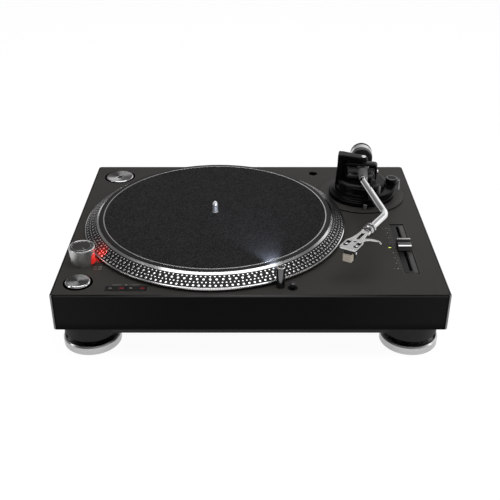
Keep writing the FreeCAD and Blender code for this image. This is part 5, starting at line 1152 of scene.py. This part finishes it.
fit(lathe("lock_shaft", [(0, 46.4), (1.2, 46.4), (1.2, 49), (0, 49)], [screw_steel],
        BASE_AT @ spot(LOCK_X, 0, 4.6) @ FRONTWAYS, cut=0.1, sides=32),
    "height_lock", "lever_silver")


# At the back a sunk tray holds the phono sockets with their coloured rings, the earth screw,
# the line switch and the USB socket, and the mains inlet stands beside it.
socket_gold = finish("socket_gold", (0.7, 0.55, 0.25), (0.6, 0.46, 0.2), 3, 0.3, 0.004, (0.12, 0.2), metal=1.0)
dress(socket_gold, "output_jacks")
dress(chrome("socket_steel", (0.6, 0.6, 0.61), (0.52, 0.52, 0.53), (0.15, 0.25)), "usb_socket", "ground_screw")
dress(finish("inlet_black", 0.012, 0.018, 10, 0.4, 0.02, (0.35, 0.5)), "mains_inlet", "line_switch")
TRAY_BACK, JACK_Z = HALF_DEEP - 13.8, 61.0
ring_red = finish("ring_red", (0.45, 0.02, 0.02), (0.36, 0.015, 0.015), 3, 0.3, 0.01, (0.3, 0.45))
ring_white = finish("ring_white", (0.7, 0.7, 0.68), (0.62, 0.62, 0.6), 3, 0.3, 0.01, (0.3, 0.45))
for x, word, colour in ((84.0, "right", ring_red), (102.0, "left", ring_white)):
    fit(lathe(f"socket_ring_{word}", [(4.3, 1.25), (6.4, 1.25), (6.4, 2.4), (5.8, 3.0), (4.3, 3.0)], [colour],
            spot(x, TRAY_BACK, JACK_Z) @ BACKWAYS, cut=0.2, sides=48),
        "chassis", "jack_metal")


# The stage: a pale floor, a studio sky that is pale round the horizon, dark above and white
# to the camera, large soft lamps, small ones for the strobe's glow and the stylus light's
# beam, and the camera at the photograph's height and angle.
FLOOR_HALF, SEEN_SHARE, MIRRORED_SHARE, FLOOR_GLOW = 12.0, 0.88, 0.6, 1.08
floor_mesh = bpy.data.meshes.new("studio_floor")
corners = [(x * FLOOR_HALF, y * FLOOR_HALF, 0.0) for x, y in ((-1, -1), (1, -1), (1, 1), (-1, 1))]
floor_mesh.from_pydata(corners, [], [(0, 1, 2, 3)])
floor = bpy.data.objects.new("studio_floor", floor_mesh)
bpy.context.scene.collection.objects.link(floor)
floor_white, tree, shader = blank("floor_white", Base_Color=(0.9, 0.9, 0.9, 1), Roughness=0.9, gloss=0.0)
path = add(tree, "LightPath")
mirrored = combined(tree, "MAXIMUM", path.outputs["Is Glossy Ray"], path.outputs["Is Transmission Ray"])
seen = combined(tree, "MULTIPLY", path.outputs["Is Camera Ray"], SEEN_SHARE)
share = combined(tree, "MULTIPLY_ADD", mirrored, MIRRORED_SHARE, seen)
glow = add(tree, "Emission", Color=(1, 1, 1, 1), Strength=FLOOR_GLOW)
both = add(tree, "MixShader", Fac=share, Shader=shader.outputs[0], Shader_001=glow.outputs[0])
tree.links.new(both.outputs[0], next(n for n in tree.nodes if n.type == "OUTPUT_MATERIAL").inputs[0])
floor_mesh.materials.append(floor_white)
floor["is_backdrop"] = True

SKY_FRONT, SKY_BACK, SKY_OVER = 0.5, 0.7, 0.13
world = bpy.data.worlds.new("studio")
bpy.context.scene.world = world
world.use_nodes = True
tree = world.node_tree
tree.nodes.clear()
way = add(tree, "SeparateXYZ", Vector=add(tree, "TexCoord").outputs["Generated"])
soft = {"interpolation_type": "SMOOTHSTEP"}
rim = ramp(tree, way.outputs[1], -0.6, 0.8, SKY_FRONT, SKY_BACK, **soft)
high = ramp(tree, way.outputs[2], 0.34, 0.6, **soft)
low = combined(tree, "MULTIPLY", rim, ramp(tree, way.outputs[0], -0.5, 0.5, 0.25, 1.8, **soft))
level = add(tree, "Mix", data_type="FLOAT", Factor_Float=high, A_Float=low, B_Float=SKY_OVER)
plain = add(tree, "Mix", data_type="FLOAT", Factor_Float=add(tree, "LightPath").outputs["Is Camera Ray"],
            A_Float=level.outputs[0], B_Float=1.05)
sky = add(tree, "Background", Color=(1, 1, 1, 1), Strength=plain.outputs[0])
add(tree, "OutputWorld", Surface=sky.outputs[0])


def lamp_at(name, data, where, way):
    """A lamp at a place in metres that shines along a direction."""
    lamp = bpy.data.objects.new(name, data)
    lamp.location = where
    lamp.rotation_euler = Vector(way).to_track_quat("-Z", "Y").to_euler()
    bpy.context.scene.collection.objects.link(lamp)


SOFTBOXES = {
    "softbox_over": ((0.0, -0.15, 1.45), (1.7, 0.8), 2.6),
    "softbox_left": ((-1.35, -0.35, 0.85), (0.25, 0.8), 3.0),
    "softbox_right": ((1.45, -0.2, 0.9), (0.3, 0.8), 3.0),
}
for name, (where, size, radiance) in SOFTBOXES.items():
    data = bpy.data.lights.new(name, "AREA")
    data.shape, data.size, data.size_y = "RECTANGLE", *size
    data.energy = radiance * math.pi * size[0] * size[1]
    lamp_at(name, data, where, Vector((0, 0, DECK * MM)) - Vector(where))

STROBE_FROM, STROBE_TO = Vector((-183.2, -101.0, DECK + 17)), Vector((-181.0, -91.0, DECK + 8))
glow_data = bpy.data.lights.new("strobe_glow", "SPOT")
glow_data.color, glow_data.energy = (1.0, 0.03, 0.02), 0.16
glow_data.spot_size, glow_data.spot_blend, glow_data.shadow_soft_size = math.radians(125), 1.0, 0.002
lamp_at("strobe_glow", glow_data, STROBE_FROM * MM, STROBE_TO - STROBE_FROM)

beam_data = bpy.data.lights.new("stylus_beam", "SPOT")
beam_data.energy, beam_data.color = 1.1, (0.72, 0.8, 1.0)
beam_data.spot_size, beam_data.spot_blend, beam_data.shadow_soft_size = math.radians(56), 1.0, 0.003
lamp_at("stylus_beam", beam_data, Vector((LAMP_X - 2.6, LAMP_Y + LAMP_R + 2.5, DECK + 21)) * MM,
        (-0.29, 1.0, -0.08))

CAMERA_BACK, CAMERA_OVER_DECK, CAMERA_PITCH = 0.93686, 0.49676, 29.94
camera_data = bpy.data.cameras.new("camera")
camera_data.sensor_width, camera_data.lens = 36.0, 58.3
camera_data.shift_x = -0.001
camera = bpy.data.objects.new("camera", camera_data)
camera.location = (0.0, -CAMERA_BACK, DECK * MM + CAMERA_OVER_DECK)
camera.rotation_euler = (math.radians(90 - CAMERA_PITCH), 0, 0)
bpy.context.scene.collection.objects.link(camera)
bpy.context.scene.camera = camera
bpy.context.scene.view_settings.view_transform = "Standard"

low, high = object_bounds()
